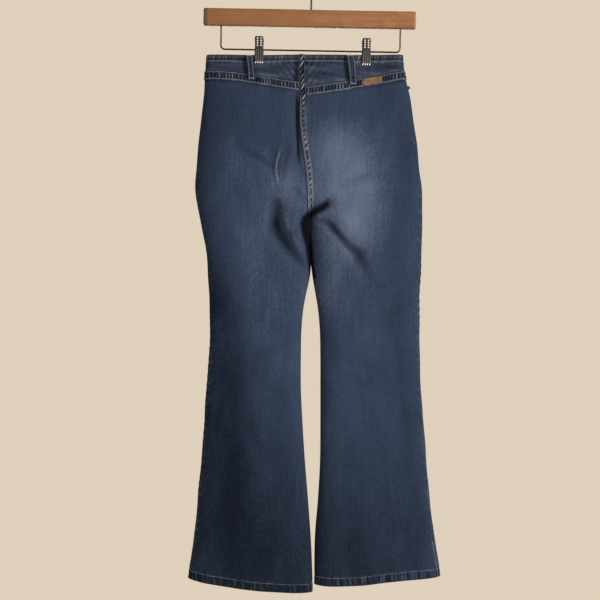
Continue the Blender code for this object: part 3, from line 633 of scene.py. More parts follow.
# The bar's pale, wavy figure is painted mostly towards the wearer's right, and the bar darkens towards the left: a
# painted gradient of the light that comes from that side. Its left end is darker still, partly end grain that drinks
# the oil and partly painted shade on the end away from the lamp.
layers = (
    (ramp(tree, clouds, 0.40, 0.80, 0.0, 0.4), (0.420, 0.195, 0.078, 1)),
    (
        maths(tree, "MULTIPLY", ramp(tree, figure, 0.50, 0.64, 0.0, 0.42), ramp(tree, along, 0.02, -0.06)),
        (0.420, 0.195, 0.080, 1),
    ),
    (ramp(tree, pores, 0.60, 0.74, 0.0, 0.5), (0.110, 0.042, 0.015, 1)),
    (ramp(tree, along, 0.02, 0.16, 0.0, 0.42), (0.215, 0.080, 0.025, 1)),
    (ramp(tree, along, 0.1870, 0.1885), (0.115, 0.055, 0.022, 1)),
)
for factor, colour in layers:
    warm = mixed(tree, factor, warm, colour)
paint(tree, shader, Base_Color=warm, Roughness=ramp(tree, pores, 0.3, 0.75, 0.40, 0.60))
bump(tree, shader, maths(tree, "ADD", rings, pores), 0.00018)
print("wood ready")


# %% Metals
def metal(name, dark, bright, low, high, scratches):
    """Brushed metal: noise stretched along the scratches moves both the colour and the roughness."""
    made, tree, shader = finish(name, low, 1.0)
    grain = noise(tree, object_place(tree), scratches, 3.0, 0.6)
    colour = mixed(tree, grain, (*dark, 1), (*bright, 1))
    paint(tree, shader, Base_Color=colour, Roughness=ramp(tree, grain, 0.3, 0.7, low, high))
    return made, tree, shader, colour


steel = metal("wire_steel", (0.038, 0.027, 0.018), (0.150, 0.112, 0.076), 0.26, 0.42, (300, 300, 300))[0]
button_metal = metal("button_metal", (0.16, 0.10, 0.05), (0.40, 0.28, 0.15), 0.28, 0.48, (400, 400, 400))[0]
# The clips are browned steel. Their teeth and bumps carry a painted white glint, where they catch the light.
clip_steel, tree, shader, browned = metal(
    "clip_steel", (0.030, 0.022, 0.018), (0.062, 0.048, 0.042), 0.42, 0.56, (900, 900, 160)
)
rubbed_and_painted_light = attribute(tree, "wear_and_light")
# White where the mask is high: a painted glint.
bare = mixed(tree, rubbed_and_painted_light, browned, (0.92, 0.90, 0.86, 1))
paint(tree, shader, Base_Color=bare, Metallic=ramp(tree, rubbed_and_painted_light, 0.0, 1.0, 0.55, 0.25))
print("metals ready")

# %% [markdown]
# ## From arrays to meshes
#
# A sheet of cloth has a wall. It is made from two grids of points, the outer face and the inner face, joined by a rim
# of faces all the way round, so it is closed. The flat map is measured along the cloth in metres, so the weave keeps
# its size on every fold. Wires, the bar and the button are rings of points with a skin over them.


# %% Surfaces
def surface(name, points, quads, materials, which=None, flat=None, fields=None):
    """A mesh from points in millimetres and four corners a face, with its flat map and its painted values."""
    mesh = bpy.data.meshes.new(name)
    mesh.from_pydata((points * MM).tolist(), [], quads.tolist())
    for material in materials:
        mesh.materials.append(material)
    if which is not None:
        mesh.polygons.foreach_set("material_index", which.astype(np.int32))
    if flat is not None:
        mesh.uv_layers.new(name="flat").uv.foreach_set("vector", (flat * MM)[quads].ravel())
    for field, values in (fields or {}).items():
        mesh.attributes.new(field, "FLOAT", "POINT").data.foreach_set("value", values.astype(np.float32))
    mesh.polygons.foreach_set("use_smooth", np.ones(len(quads), bool))
    mesh.set_sharp_from_angle(angle=SHARP)
    mesh.update()
    return placed(name, mesh)


def placed(name, data, **settings):
    """An object in the scene."""
    made = bpy.data.objects.new(name, data)
    for setting, value in settings.items():
        setattr(made, setting, value)
    bpy.context.scene.collection.objects.link(made)
    return made


def crossed(corner):
    """Each face's normal, twice as long as its area: the cross product of its diagonals."""
    return np.cross(corner[:, 2] - corner[:, 0], corner[:, 3] - corner[:, 1])


def strides(points, axis=0):
    """The distance from each point to the next."""
    return np.linalg.norm(np.diff(points, axis=axis), axis=-1)


def grid_faces(rows, cols):
    """Four corners for each cell of a grid, and the corners of its rim in the same sense."""
    index = np.arange(rows * cols).reshape(rows, cols)
    cells = np.stack([index[:-1, :-1], index[:-1, 1:], index[1:, 1:], index[1:, :-1]], -1).reshape(-1, 4)
    return cells, np.concatenate([index[0, :-1], index[:-1, -1], index[-1, :0:-1], index[:0:-1, 0]])


def flat_map(points, grain_x):
    """The length along each row and down each column, in millimetres. Rows are counted from the middle column, or from
    grain_x, where the grain runs straight down, so the weave doesn't follow a curved edge."""
    rows, cols = points.shape[:2]
    across = np.pad(np.cumsum(strides(points, 1), axis=1), ((0, 0), (1, 0)))
    down = np.pad(np.cumsum(strides(points), axis=0), ((1, 0), (0, 0)))
    across = across - across[:, cols // 2 : cols // 2 + 1]
    if grain_x is not None:
        row, nearest = np.arange(rows), np.abs(points[..., 0] - grain_x).argmin(axis=1)
        beyond = (grain_x - points[row, nearest, 0]) * np.sign(points[:, -1, 0] - points[:, 0, 0])
        across = across - (across[row, nearest] + beyond)[:, None]
    return np.stack([across, -down], -1).reshape(-1, 2)


def wall(name, outer, inner, materials, fade_and_shade, wear_and_light, grain_x=None):
    """A closed wall between two grids. The second material, where there is one, is for the inner face."""
    cells, rim = grid_faces(*outer.shape[:2])
    after, count = np.roll(rim, -1), outer[..., 0].size
    quads = np.concatenate([cells, cells[:, ::-1] + count, np.stack([after, rim, rim + count, after + count], -1)])
    out = (outer - inner).reshape(-1, 3)[cells[:, 0]]
    if (crossed(outer.reshape(-1, 3)[cells]) * out).sum() < 0:
        quads = quads[:, ::-1]
    which = np.zeros(len(quads))
    which[len(cells) : 2 * len(cells)] = len(materials) - 1
    points = np.concatenate([outer.reshape(-1, 3), inner.reshape(-1, 3)])
    # The second painted value holds wear together with painted shade and painted glints.
    fields = {"fade_and_shade": fade_and_shade, "wear_and_light": wear_and_light}
    fields = {field: np.tile(np.broadcast_to(fields[field], outer.shape[:2]).ravel(), 2) for field in fields}
    return surface(name, points, quads, materials, which, np.tile(flat_map(outer, grain_x), (2, 1)), fields)


def tube_mesh(name, rings, material):
    """A closed skin over rings of points: quads between rings, and strips of quads over both ends."""
    count, sides = rings.shape[:2]
    ring, half = np.arange(sides), np.arange(sides // 2 - 1)
    after, step = (ring + 1) % sides, (np.arange(count - 1) * sides)[:, None]
    quads = np.stack([step + ring, step + after, step + sides + after, step + sides + ring], -1).reshape(-1, 4)
    cap = np.stack([half, half + 1, sides - 2 - half, sides - 1 - half], -1)
    quads = np.concatenate([quads, cap[:, ::-1], cap + (count - 1) * sides])
    points = rings.reshape(-1, 3)
    corner = points[quads[:sides]]
    out = corner.mean(axis=1) - rings[:2].reshape(-1, 3).mean(axis=0)
    if (crossed(corner) * out).sum() < 0:
        quads = quads[:, ::-1]
    return surface(name, points, quads, [material])


print("a grid of 3 x 4 points has", [len(part) for part in grid_faces(3, 4)], "faces and rim points")

# %% Pieces and sheets
# What is made of a piece of cloth: its object, the smooth cloth under it, its outer face with the normals, and the row
# on which it is sewn.
Piece = namedtuple("Piece", "made smooth outer normal sewn_row")


def dress(made, slot, *nodes):
    """The piece rides on the one body and stands for those solids, which it hides. The slot is not used."""
    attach(made, "root")
    if nodes:
        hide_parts(*nodes)
    return made


def raised(points, normals, height):
    """The same points, that much above the cloth."""
    return points + normals * np.broadcast_to(height, points.shape[:-1])[..., None]


def sewn_on(name, node, slot, side, base, under, top, material, fade_and_shade, wear_and_light):
    """A strip over the cloth: its inner face lies under above it and its outer face top above it."""
    normal = facing(base, side)
    outer = raised(base, normal, top)
    made = dress(wall(name, outer, raised(base, normal, under), [material], fade_and_shade, wear_and_light), slot, node)
    return Piece(made, base, outer, facing(outer, side), None)


print("a piece holds", Piece._fields)

# %% [markdown]
# ## Stitches
#
# Each stitch is a small bean of thread, lying along its seam and sinking into the cloth at both ends. A thousand of
# them are one mesh a seam: four rings of six points each, moved as one array along a path. A bar tack is the same
# bean, set close together across a loop's end.

# %% Beans of thread
# A bean's four rings: how far along, how wide and how high, in shares of half its length and of its radius.
BEAN = ((-1.0, -0.55, 0.55, 1.0), (0.5, 1.0, 1.0, 0.5), (-0.75, 0.15, 0.15, -0.75))
JITTER, LOOK = 0.12, 0.8  # of a stitch's place, in shares of the pitch, and how far off it looks for its direction
BEAN_CAPS = ((0, 5, 4, 1), (1, 4, 3, 2), (18, 19, 22, 23), (19, 20, 21, 22))


def at_length(points, lengths, spots):
    """Points on a path at those lengths along it."""
    return np.stack([np.interp(spots, lengths, column) for column in points.T], -1)


def stitches(name, paths, material, pitch=3.3, length=2.8, radius=0.44, seed=1):
    """Beans along each (points, normals) path, a seeded step apart. Each points the way its path goes there."""
    random = np.random.default_rng(seed)
    beans = []
    for points, normals in paths:
        lengths = np.concatenate([[0], np.cumsum(strides(points))])
        spots = np.arange(pitch / 2, lengths[-1], pitch)
        spots = spots + random.uniform(-JITTER, JITTER, len(spots)) * pitch
        middle, ahead, behind = (at_length(points, lengths, spots + shift) for shift in (0, LOOK, -LOOK))
        beans.append(np.stack([middle, ahead - behind, at_length(normals, lengths, spots)]))
    middle, way, up = np.concatenate(beans, axis=1)
    way = unit(way)
    aside = unit(np.cross(way, up))
    up = np.cross(aside, way)
    t, size, sink = (np.array(row)[None, :, None, None] for row in BEAN)
    angle = (np.arange(6) * math.pi / 3)[None, None, :, None]
    ring = (
        middle[:, None, None]
        + way[:, None, None] * t * length / 2
        + aside[:, None, None] * np.cos(angle) * size * radius
        + up[:, None, None] * (np.sin(angle) * size * 0.8 + sink) * radius
    )
    first = (np.arange(len(middle)) * 24)[:, None, None, None]
    k, j = (np.arange(3) * 6)[None, :, None, None], np.arange(6)[None, None, :, None]
    after = (j + 1) % 6
    sides = np.concatenate([first + k + j, first + k + after, first + k + 6 + after, first + k + 6 + j], -1)
    quads = np.concatenate([sides.reshape(-1, 4), (first[:, 0] + np.array(BEAN_CAPS)[None]).reshape(-1, 4)])
    print(f"{name}: {len(middle)} stitches, {len(quads)} faces")
    return dress(surface(name, ring.reshape(-1, 3), quads[:, ::-1], [material]), "denim_seam")


def on_piece(piece, index, height=0.12):
    """A path along a row or a column of a piece's own grid, that much above it."""
    return raised(piece.outer[index], piece.normal[index], height), piece.normal[index]


print("a bean has", 6 * len(BEAN[0]), "points")

# %% [markdown]
# ## The four leg panels
#
# The legs are the body of the jeans. Each panel runs from the yoke seam to the hem, which is turned up twice and
# sewn, so its wall is thicker there and it puckers between the stitches. The panel also carries two painted values.
# The first is a base plus soft clouds, pale where the cloth rubbed, and darker at the sides and towards the hems, which
# is partly darker dye and partly painted shade. The second is what its seams add, with their thin painted shadows, and
# the painted shade of its deepest folds. Along the side seams the doubled cloth inside shows as a row of pale specks.

# %% Clouds of fade and painted shade, as x, drop, half width, half height and amount
BACK_FADE_AND_SHADE = (
    (-70, 400, 62, 104, 0.38),
    (-30, 335, 36, 40, 0.14),
    (-84, 478, 50, 52, 0.10),
    (-50, 520, 50, 60, 0.08),
    (-25, 600, 34, 52, 0.10),
    (-90, 262, 60, 36, -0.09),
    (125, 362, 36, 48, 0.10),
    (44, 408, 40, 56, 0.20),
    (112, 500, 50, 90, 0.12),
    (70, 640, 60, 130, 0.08),
    (-80, 640, 60, 160, 0.04),
    # Painted shade, on darker dye: the left leg's outer part turns away from the lamp.
    (165, 615, 34, 84, -0.28),
    (160, 770, 40, 120, -0.28),
    (115, 745, 28, 80, -0.08),
    (140, 950, 62, 140, -0.30),
    (190, 940, 42, 160, -0.12),
    (45, 900, 45, 120, -0.08),
    # Painted shade: both legs darker towards the hems.
    (100, 1090, 150, 120, -0.24),
    (-100, 1065, 170, 180, -0.24),
    (-30, 880, 30, 80, 0.06),
    (-175, 700, 60, 300, -0.08),
    (165, 270, 62, 95, -0.12),
    (-170, 340, 26, 120, -0.18),
)
FRONT_FADES = (
    (90, 560, 48, 150, 0.28),
    (-84, 560, 48, 150, 0.28),
    (88, 330, 50, 60, 0.10),
    (-80, 330, 50, 60, 0.10),
    (176, 760, 30, 420, -0.12),
    (-176, 760, 30, 420, -0.12),
    (0, 1080, 300, 150, -0.16),
    (6, 455, 30, 70, -0.15),
)
FADE_AND_SHADE = {1: BACK_FADE_AND_SHADE, -1: FRONT_FADES}
FADE_BASE = 0.42
# A ridge is paler from wear, and a trough is darker with painted shade, in proportion to its height.
CREASE_WEAR_AND_SHADE = 0.055  # how much paler a ridge is for each millimetre that it stands up
# The painted shade of a fold goes no darker than this, where it is black.
BLACKEST_SHADE = -1.6  # the wear at which a fold is black, so it has a clear edge


def faded_and_shaded(side, points):
    """The base, plus each cloud, plus the creases: ridges paler from wear, troughs darker with unwashed dye and painted
    shade.
    """
    x, drop = points[..., 0], -points[..., 2]
    total = np.full(x.shape, FADE_BASE)
    for x0, drop0, wide, tall, amount in FADE_AND_SHADE[side]:
        total = total + amount * np.exp(-(((x - x0) / wide) ** 2) - ((drop - drop0) / tall) ** 2)
    return total + CREASE_WEAR_AND_SHADE * creases(CREASES[side], x, drop)


# Painted shade in the deepest folds behind and beside the seat seam, and one ridge that rubs pale between two painted
# lines of shade, as paths of (x, drop, half width, value).
FOLD_SHADE_AND_RIDGE = (
    (
        (-27, 431, 3, -0.5), (-25, 437, 5.5, -1.0), (-16, 444, 6, -1.2), (-5, 448.5, 5.5, -1.3), (4, 455, 5, -1.8),
        (11, 463, 5.5, -2.4), (12.5, 472, 6.5, -2.6), (10.5, 488, 6, -2.6), (6, 508, 4.5, -2.6), (4, 527, 4, -2.6),
        (2, 547, 4, -2.4), (-1, 564, 5, -1.8),
    ),
    (
        (-6, 463, 2.5, -0.2), (-18, 465, 3, -0.3), (-33, 475, 5, -0.5), (-46, 491, 4.5, -0.55), (-61, 507, 5.5, -0.5),
        (-77, 522, 7, -0.45), (-89, 542, 7.5, -0.3), (-95, 556, 7, 0),
    ),
    (
        (62, 430, 5, -0.15), (63, 442, 8, -0.3), (66, 458, 9, -0.36), (66, 474, 9.5, -0.38), (60, 491, 9, -0.38),
        (48, 509, 8, -0.36), (33, 527, 6, -0.3), (18, 542, 4, -0.2),
    ),
    (
        (27.5, 238, 1.8, -0.4), (27.5, 262, 2.4, -0.95), (26.5, 300, 2.4, -1.0), (24.5, 352, 2.0, -0.85),
        (20.5, 366, 1.4, -0.45), (15, 385, 1.2, -0.3), (12.5, 402, 1.2, -0.1),
    ),
    ((52, 338, 2.0, -0.1), (55, 350, 2.4, -0.3), (59.5, 366, 2.2, -0.35), (60, 378, 2.0, -0.25), (58, 392, 2.0, 0)),
    ((68, 356, 1.6, 0), (69.5, 368, 1.8, -0.25), (69.5, 382, 1.8, -0.25), (67, 398, 1.6, 0)),
    (
        (56, 336, 1.3, 0.1), (59, 348, 1.4, 0.35), (63.5, 364, 1.5, 0.55), (64.5, 377, 1.5, 0.5), (62, 397, 1.4, 0.35),
        (60, 406, 1.2, 0.1),
    ),
)


def fold_shade_and_ridge(x, drop):
    return np.maximum(creases(FOLD_SHADE_AND_RIDGE, x, drop), BLACKEST_SHADE)


print(len(BACK_FADE_AND_SHADE), "clouds behind,", len(FRONT_FADES), "in front")


# %% Leg panels
def hem_line(leg, share):
    """The drop of the hem's edge: straight from side seam to inseam, plus a sagging half wave."""
    outer_drop, inner_drop, sag, lean = HEMS[leg]
    return outer_drop + (inner_drop - outer_drop) * share + sag * np.sin(math.pi * share**lean)


def leg_rows(side, leg, u, counts):
    """The drop of every point of a panel: rows are level at the crotch, and tilt to the yoke and to the hem."""
    seat, crotch, thigh, calf, hem = counts
    top = yoke_edge(leg, side, 1 - np.cos(math.pi / 2 * u)) + GAP / 2
    stitch = hem_line(leg, (1 - np.cos(math.pi * u)) / 2) - HEM_TURN
    above = np.linspace(float(yoke_edge("left", 1, 1.0)), CROTCH_START, seat)[:-1]
    swing = np.sin(np.linspace(0, math.pi / 2, crotch + 1))
    below = (np.linspace(CROTCH_DROP, KNEE_DROP, thigh + 1)[1:], np.linspace(KNEE_DROP, CALF_DROP, calf + 1)[1:])
    drops = np.concatenate([above, CROTCH_START + (CROTCH_DROP - CROTCH_START) * swing, *below])
    walk = rising(drops, drops[0], drops[-1])[:, None]
    turned = rising(CROTCH_DROP, drops[0], drops[-1])
    upper = top + (CROTCH_DROP - top) * rising(walk, 0, turned)
    lower = CROTCH_DROP + (stitch - CROTCH_DROP) * rising(walk, turned, 1)
    body = np.where(walk <= turned, upper, lower)
    band = stitch + HEM_TURN * np.linspace(0, 1, hem + 1)[1:, None]
    return np.concatenate([body, band]), len(body) - 1


def leg_panel(leg, side, columns, counts, seed):
    """One panel: the surface, plus puckers along its hem and its side seam, each within its own strip."""
    u = np.linspace(0, 1, columns + 1)
    drop, stitch_row = leg_rows(side, leg, u, counts)
    smooth = cloth(leg, side, u, drop)
    x = smooth[..., 0]
    into_hem = drop - drop[stitch_row]
    hem = puckers(x + 0.25 * into_hem, *HEM_RUN, 12.5, 0.5, seed)
    ticks = puckers(x + 0.12 * into_hem, *HEM_RUN, 6.1, 0.35, seed + 9, 2.0)
    hem_strip = peak(into_hem - 8.6, 7.4, 6)
    from_side = np.abs(x - edges(leg, drop)[0])
    roping = puckers(drop + from_side, *SIDE_RUN, 13.0, 0.45, seed + 5)
    side_strip = peak(from_side - 5, 5.5) * rising(drop, 260, 340) * (1 - hem_strip)
    specks = puckers(drop, *SIDE_RUN, 6.5, 0.4, seed + 7, 2.0) * peak(from_side - 3, 3) * (1 - hem_strip)
    specks = specks * rising(drop, 560, 680) * (1.0 if leg == "left" else 0.4)
    relief = (hem - 0.55) * hem_strip * 1.3 + (hem - 0.5) * 0.5 * (into_hem < 0) * peak(into_hem, 9)
    relief = relief + (ticks - 0.4) * hem_strip * 0.4 + (roping - 0.5) * side_strip * 0.7
    # The stitches pull the cloth in along their line.
    relief = relief - 0.45 * peak(into_hem - 0.8, 1.4)
    outer = raised(smooth, facing(smooth, side), relief)
    normal = facing(outer, side)
    inner = raised(outer, normal, -LEG_WALL - (HEM_WALL - LEG_WALL) * rising(into_hem, 0.3, 2.3))
    fade_and_shade = faded_and_shaded(side, smooth) + (0.06 if leg == "right" else -0.03) * hem_strip
    wear_and_light = ((hem - 0.60) * 0.7 + (ticks**2 - 0.27) * 1.2) * hem_strip + (roping - 0.6) * side_strip * 0.6 + specks * 0.9
    # The line of stitches is pale in some places only, and a shadow lies over it where the cloth rolls in.
    rubbed_line = puckers(x, *HEM_RUN, 23.0, 0.6, seed + 11, 0.8)
    wear_and_light = wear_and_light + 0.60 * peak(into_hem - 0.9, 1.3) * (rubbed_line - 0.18) - 0.30 * peak(into_hem + 2.3, 1.4)
    wear_and_light = wear_and_light - 0.25 * peak(into_hem - HEM_TURN, 1.2)
    if side > 0:
        # Behind, the deepest folds are painted dark as shade, and the felled seam throws a thin painted shadow on the
        # cloth under it.
        wear_and_light = wear_and_light + fold_shade_and_ridge(x, drop) - 0.38 * peak(drop - drop[0] - 9.9, 1.6)
    finishes = [denim_cloth, denim_reverse]
    made = wall(f"{FACE[side]}_panel_{leg}", outer, inner, finishes, fade_and_shade, wear_and_light, SIGN[leg] * GRAIN_X)
    return Piece(dress(made, "denim", f"{FACE[side]}_leg_{leg}"), smooth, outer, normal, stitch_row)


# For each side: columns, and rows of the seat, the crotch, the thigh, the calf and the hem.
PANEL_GRIDS = {1: (126, (44, 20, 34, 112, 12)), -1: (90, (34, 16, 26, 80, 10))}
panels = {}
for leg, seed in (("left", 21), ("right", 22)):
    panels[leg, 1] = leg_panel(leg, 1, *PANEL_GRIDS[1], seed)
    panels[leg, -1] = leg_panel(leg, -1, *PANEL_GRIDS[-1], seed + 40)
print("panels", [piece.made.name for piece in panels.values()])

# %% [markdown]
# ## Yoke, waistband and felled seams
#
# The back yoke is cut in two halves, and its upper edge is the waist. A line of stitches a finger's width below the
# edge holds the ply turned inside, and the strip between them puckers. The yoke seam and the seat seam are felled: the
# edges are folded into each other and sewn twice. That leaves a rope whose ridges wear pale, between two flat edges
# that the stitches hold down.

# %% Yoke and waistband
WAIST_STITCH = 11.6  # below the top edge
WAIST_ROW = 12  # the row on which the waist is sewn
BAND_NODES = {1: "back_yoke_", -1: "front_band_"}


def wrinkle_shading(leg, x, down):
    """Painted light and shade of faint level wrinkles on the yoke: three sine waves, long across and short down,
    stronger near the seat seam, with a painted shadow of the seam beside it.
    """
    from_seam = np.abs(x - SEAM_X)
    wave = np.sin(down / 2.3 + x / 17.0) * np.sin(x / 23.0 + down / 9.0 + (0.8 if leg == "left" else 2.3))
    wave = wave + 0.7 * np.sin(down / 3.9 - x / 31.0 + 1.0)
    beside = peak(from_seam - 9.5, 3.2) * (1.0 if leg == "left" else 0.35)
    slanting = np.sin((down * 0.75 + from_seam) / 1.9) * np.exp(-from_seam / 22.0)
    return (0.20 * wave + 0.42 * slanting - 0.80 * beside) * np.clip((down - 9) / 5, 0.25, 1)


def band_panel(leg, side, columns, seed):
    """Half of the waist: rows follow the top edge down to the stitches, then spread to the yoke seam."""
    u = np.linspace(0, 1, columns + 1)
    share = 1 - np.cos(math.pi / 2 * u)
    top = WAIST_DROP + FRONT_DIP * share**2 * (side < 0)
    bottom = yoke_edge(leg, side, share) - GAP / 2
    strip = top + WAIST_STITCH * np.linspace(0, 1, WAIST_ROW + 1)[:, None]
    rest = top + WAIST_STITCH + (bottom - top - WAIST_STITCH) * np.linspace(0, 1, 27)[1:, None]
    drop = np.concatenate([strip, rest])
    smooth = cloth(leg, side, u, drop)
    x, down, up = smooth[..., 0], drop - top, bottom - drop
    ridge = puckers(x - 0.35 * down, *WAIST_RIDGES)
    ticks = puckers(x - 0.25 * down, *WAIST_RUN, 5.2, 0.3, seed + 3, 2.0)
    rope = puckers(x, *WAIST_RUN, 9.5, 0.25, seed)
    in_strip = peak(down - 5.6, 5.2, 4)
    below = peak(down - WAIST_STITCH - 3, 5) * (down > WAIST_STITCH)
    gripped = np.max([peak(x - clip_x, PINCH_HALF, 4) for clip_x in CLIPS.values()], axis=0) * (down < 24)
    relief = (ridge - 0.5) * in_strip * 0.8 + (ticks - 0.4) * in_strip * 0.35
    relief = relief + (ridge - 0.5) * below * 0.5 + (rope - 0.5) * peak(up, 5) * 0.5
    # The turned edge rolls over, and the stitches pull in along their line.
    relief = relief - 0.4 * peak(down - WAIST_STITCH, 1.1) - 0.5 * peak(down, 1.2)
    outer = raised(smooth, facing(smooth, side), relief * (1 - gripped))
    normal = facing(outer, side)
    fade_and_shade = faded_and_shaded(side, smooth) - 0.02
    # Behind, the yoke carries the painted light and shade of its wrinkles.
    if side > 0:
        fade_and_shade = fade_and_shade + 0.6 * wrinkle_shading(leg, x, down) - 0.06 * peak(x + 32, 20) + 0.03 * peak(x - 60, 30)
    # The upper half of the strip rubs pale, a painted shadow lies over the stitches where they pull the cloth in, and
    # the rolled top edge is painted dark as shade.
    wear_and_light = ((ridge - 0.60) * 0.8 + (ticks - 0.42) * 0.9) * in_strip + (ridge - 0.5) * below * 0.45
    wear_and_light = wear_and_light + 0.26 * peak(down - 3.6, 3.2) - 0.30 * peak(down - 8.6, 1.6) - 0.5 * peak(down, 1.1)
    wear_and_light = wear_and_light + 0.42 * peak(down - WAIST_STITCH - 0.4, 1.8) * (0.35 + 0.65 * ridge) - 0.16 * peak(down - 16, 1.4)
    # The seam allowance under the lower edge shows as a pale line, with a dark line of painted shade under it.
    wear_and_light = wear_and_light + 0.28 * peak(up - 10.4, 1.1) * (0.6 + 0.6 * ridge) - 0.30 * peak(up - 8.0, 1.2)
    finishes, inner = [denim_yoke, denim_reverse], raised(outer, normal, -BAND_WALL)
    made = wall(f"{FACE[side]}_waist_{leg}", outer, inner, finishes, fade_and_shade, wear_and_light, SIGN[leg] * GRAIN_X)
    return Piece(dress(made, "denim", BAND_NODES[side] + leg), smooth, outer, normal, WAIST_ROW)


bands = {}
for leg, seed in (("left", 31), ("right", 32)):
    bands[leg, 1] = band_panel(leg, 1, 170, seed)
    bands[leg, -1] = band_panel(leg, -1, 120, seed + 10)
print("bands", [piece.made.name for piece in bands.values()])

# %% Yoke seam
SEAMS_MEET = 226.0  # the drop at which the yoke seams meet the seat seam
LOOP_ENDS = {"left": 103, "right": -80}


def yoke_seam(leg, columns, seed):
    """A strip of 16 mm over the seam: u along it, v across it from -8 to 8 mm, lifted by the folds of cloth inside."""
    end_x = edges(leg, SEAMS_MEET)[1] + SIGN[leg] * (SEAT_SEAM_WIDTH / 2 + GAP)
    u = np.linspace(0, float(u_at(leg, end_x, SEAMS_MEET)), columns + 1)
    v = np.linspace(-0.5, 0.5, 17)[:, None] * SEAM_WIDTH
    base = cloth(leg, 1, u, yoke_edge(leg, 1, 1 - np.cos(math.pi / 2 * u)) + v)
    x = base[..., 0]
    rope = puckers(x + 0.15 * SIGN[leg] * v, *WAIST_RUN, 5.7, 0.16, seed, 2.2)
    tall = puckers(x, *WAIST_RUN, 17.0, 0.6, seed + 4, 0.8)
    middle = peak(v - 0.3, 3.7 + 1.3 * tall, 4)
    top = GAP + STRIP + middle * (rope - 0.3) * 0.9 - 0.2 * peak(np.abs(v) - 6.6, 0.9) - 0.3 * peak(np.abs(v) - 8, 0.8)
    # Under a loop's end the seam is painted darker as shade, and its pale edges come and go. A thin painted shadow
    # lies along its upper edge.
    loop_end_shade = 0.35 * peak(x - LOOP_ENDS[leg], 7)
    wear_and_light = (rope * 1.6 - 0.70 - loop_end_shade) * middle - 0.35 * peak(v + 7.9, 1.0) - 0.5 * loop_end_shade
    wear_and_light = wear_and_light + (0.22 + 0.42 * tall) * peak(v - 6.8, 1.2) + (0.05 + 0.38 * tall) * peak(v + 6.4, 1.0)
    names = ("felled_yoke_seam_" + leg, "yoke_seam_" + leg, "denim_seam")
    return sewn_on(*names, 1, base, GAP, top, denim_seam, faded_and_shaded(1, base) - 0.02, wear_and_light)


yoke_seams = {leg: yoke_seam(leg, 280, seed) for leg, seed in (("left", 51), ("right", 52))}
print("yoke seams", [piece.outer.shape[:2] for piece in yoke_seams.values()])


# %% Seat seam
def seat_seam():
    """A strip of 12 mm down the centre. Its ridges slant like a rope above the seat, and lie square below it."""
    swing = np.sin(np.linspace(0, math.radians(56), 16))
    straight = np.linspace(WAIST_DROP, CROTCH_START, 320)[:-1]
    drop = np.concatenate([straight, CROTCH_START + (CROTCH_DROP - CROTCH_START) * swing])[:, None]
    v = np.linspace(-0.5, 0.5, 13) * SEAT_SEAM_WIDTH
    centre = centre_line(drop)
    left, right = (cloth_at(leg, 1, centre + sign * np.abs(v), drop) for leg, sign in SIGN.items())
    base = np.where(v[:, None] > 0, left, right)
    base[:, 6] = (left[:, 6] + right[:, 6]) / 2
    base[..., 0] = centre + v
    # Above the seat the ropes are steep and pale on a dark ground. Below it, short dark dashes lie between pale edges.
    upper, lower = rising(drop, 262, 238), rising(drop, 318, 348)
    rope = puckers(drop - (0.9 + 0.7 * upper) * v, *SEAT_RUN, 9.3, 0.24, 61, 1.2)
    flecks = puckers(drop, *SEAT_RUN, 5.1, 0.4, 63, 1.5)
    middle = peak(v + 0.9 * upper, 1.8 + 1.4 * upper, 4)
    edge = peak(np.abs(v) - 4.4, 1.2)
    top = GAP + STRIP + middle * (rope - 0.35) * 0.9 - edge * 0.2 - 0.3 * peak(np.abs(v) - 6, 0.8)
    wear_and_light = ((rope * 1.7 - 0.75 - 0.25 * lower) * (1 - upper) + (rope**2 * 3.0 - 1.05) * upper) * middle
    # A thin dark line along both edges is painted shade, where the strip steps down to the cloth.
    wear_and_light = wear_and_light + edge * (0.60 * flecks - 0.02 - 1.10 * upper) + 0.15 * (1 - upper) - 0.45 * peak(np.abs(v) - 6, 0.7)
    # Its own marks stop above the fold, and the painted shade of the deepest folds lies over it.
    wear_and_light = wear_and_light * rising(drop, 443, 438) + fold_shade_and_ridge(base[..., 0], drop)
    names = ("felled_seat_seam", "seat_seam", "denim_seam")
    return sewn_on(*names, 1, base, GAP, top, denim_seam, faded_and_shaded(1, base) + 0.02, wear_and_light)


seat = seat_seam()
print("seat seam rows:", len(seat.outer))

# %% [markdown]
# ## Belt loops, patch, fly and button
#
# A belt loop is a folded strip, sewn down at both ends with bar tacks, which stands off the waist to let a belt
# through. The patch is a small bare strip of leather on the yoke seam. The front is closed by a lap with a curved
# double line of stitches, and a shank button.

# %% Belt loops: node, side, x at the top and at the end, drop of the end, width
LOOPS = (
    ("loop_back_left", 1, 112.6, 108.4, 213.0, 11.5),
    ("loop_back_right", 1, -67.5, -73.4, 223.4, 13.0),
    ("loop_front_left", -1, 120.0, 121.0, 207.0, 12.0),
    ("loop_front_right", -1, -112.0, -113.0, 207.0, 12.0),
)
LOOP_STAND = 6.8  # the room for a belt
LOOP_WALL = 1.6


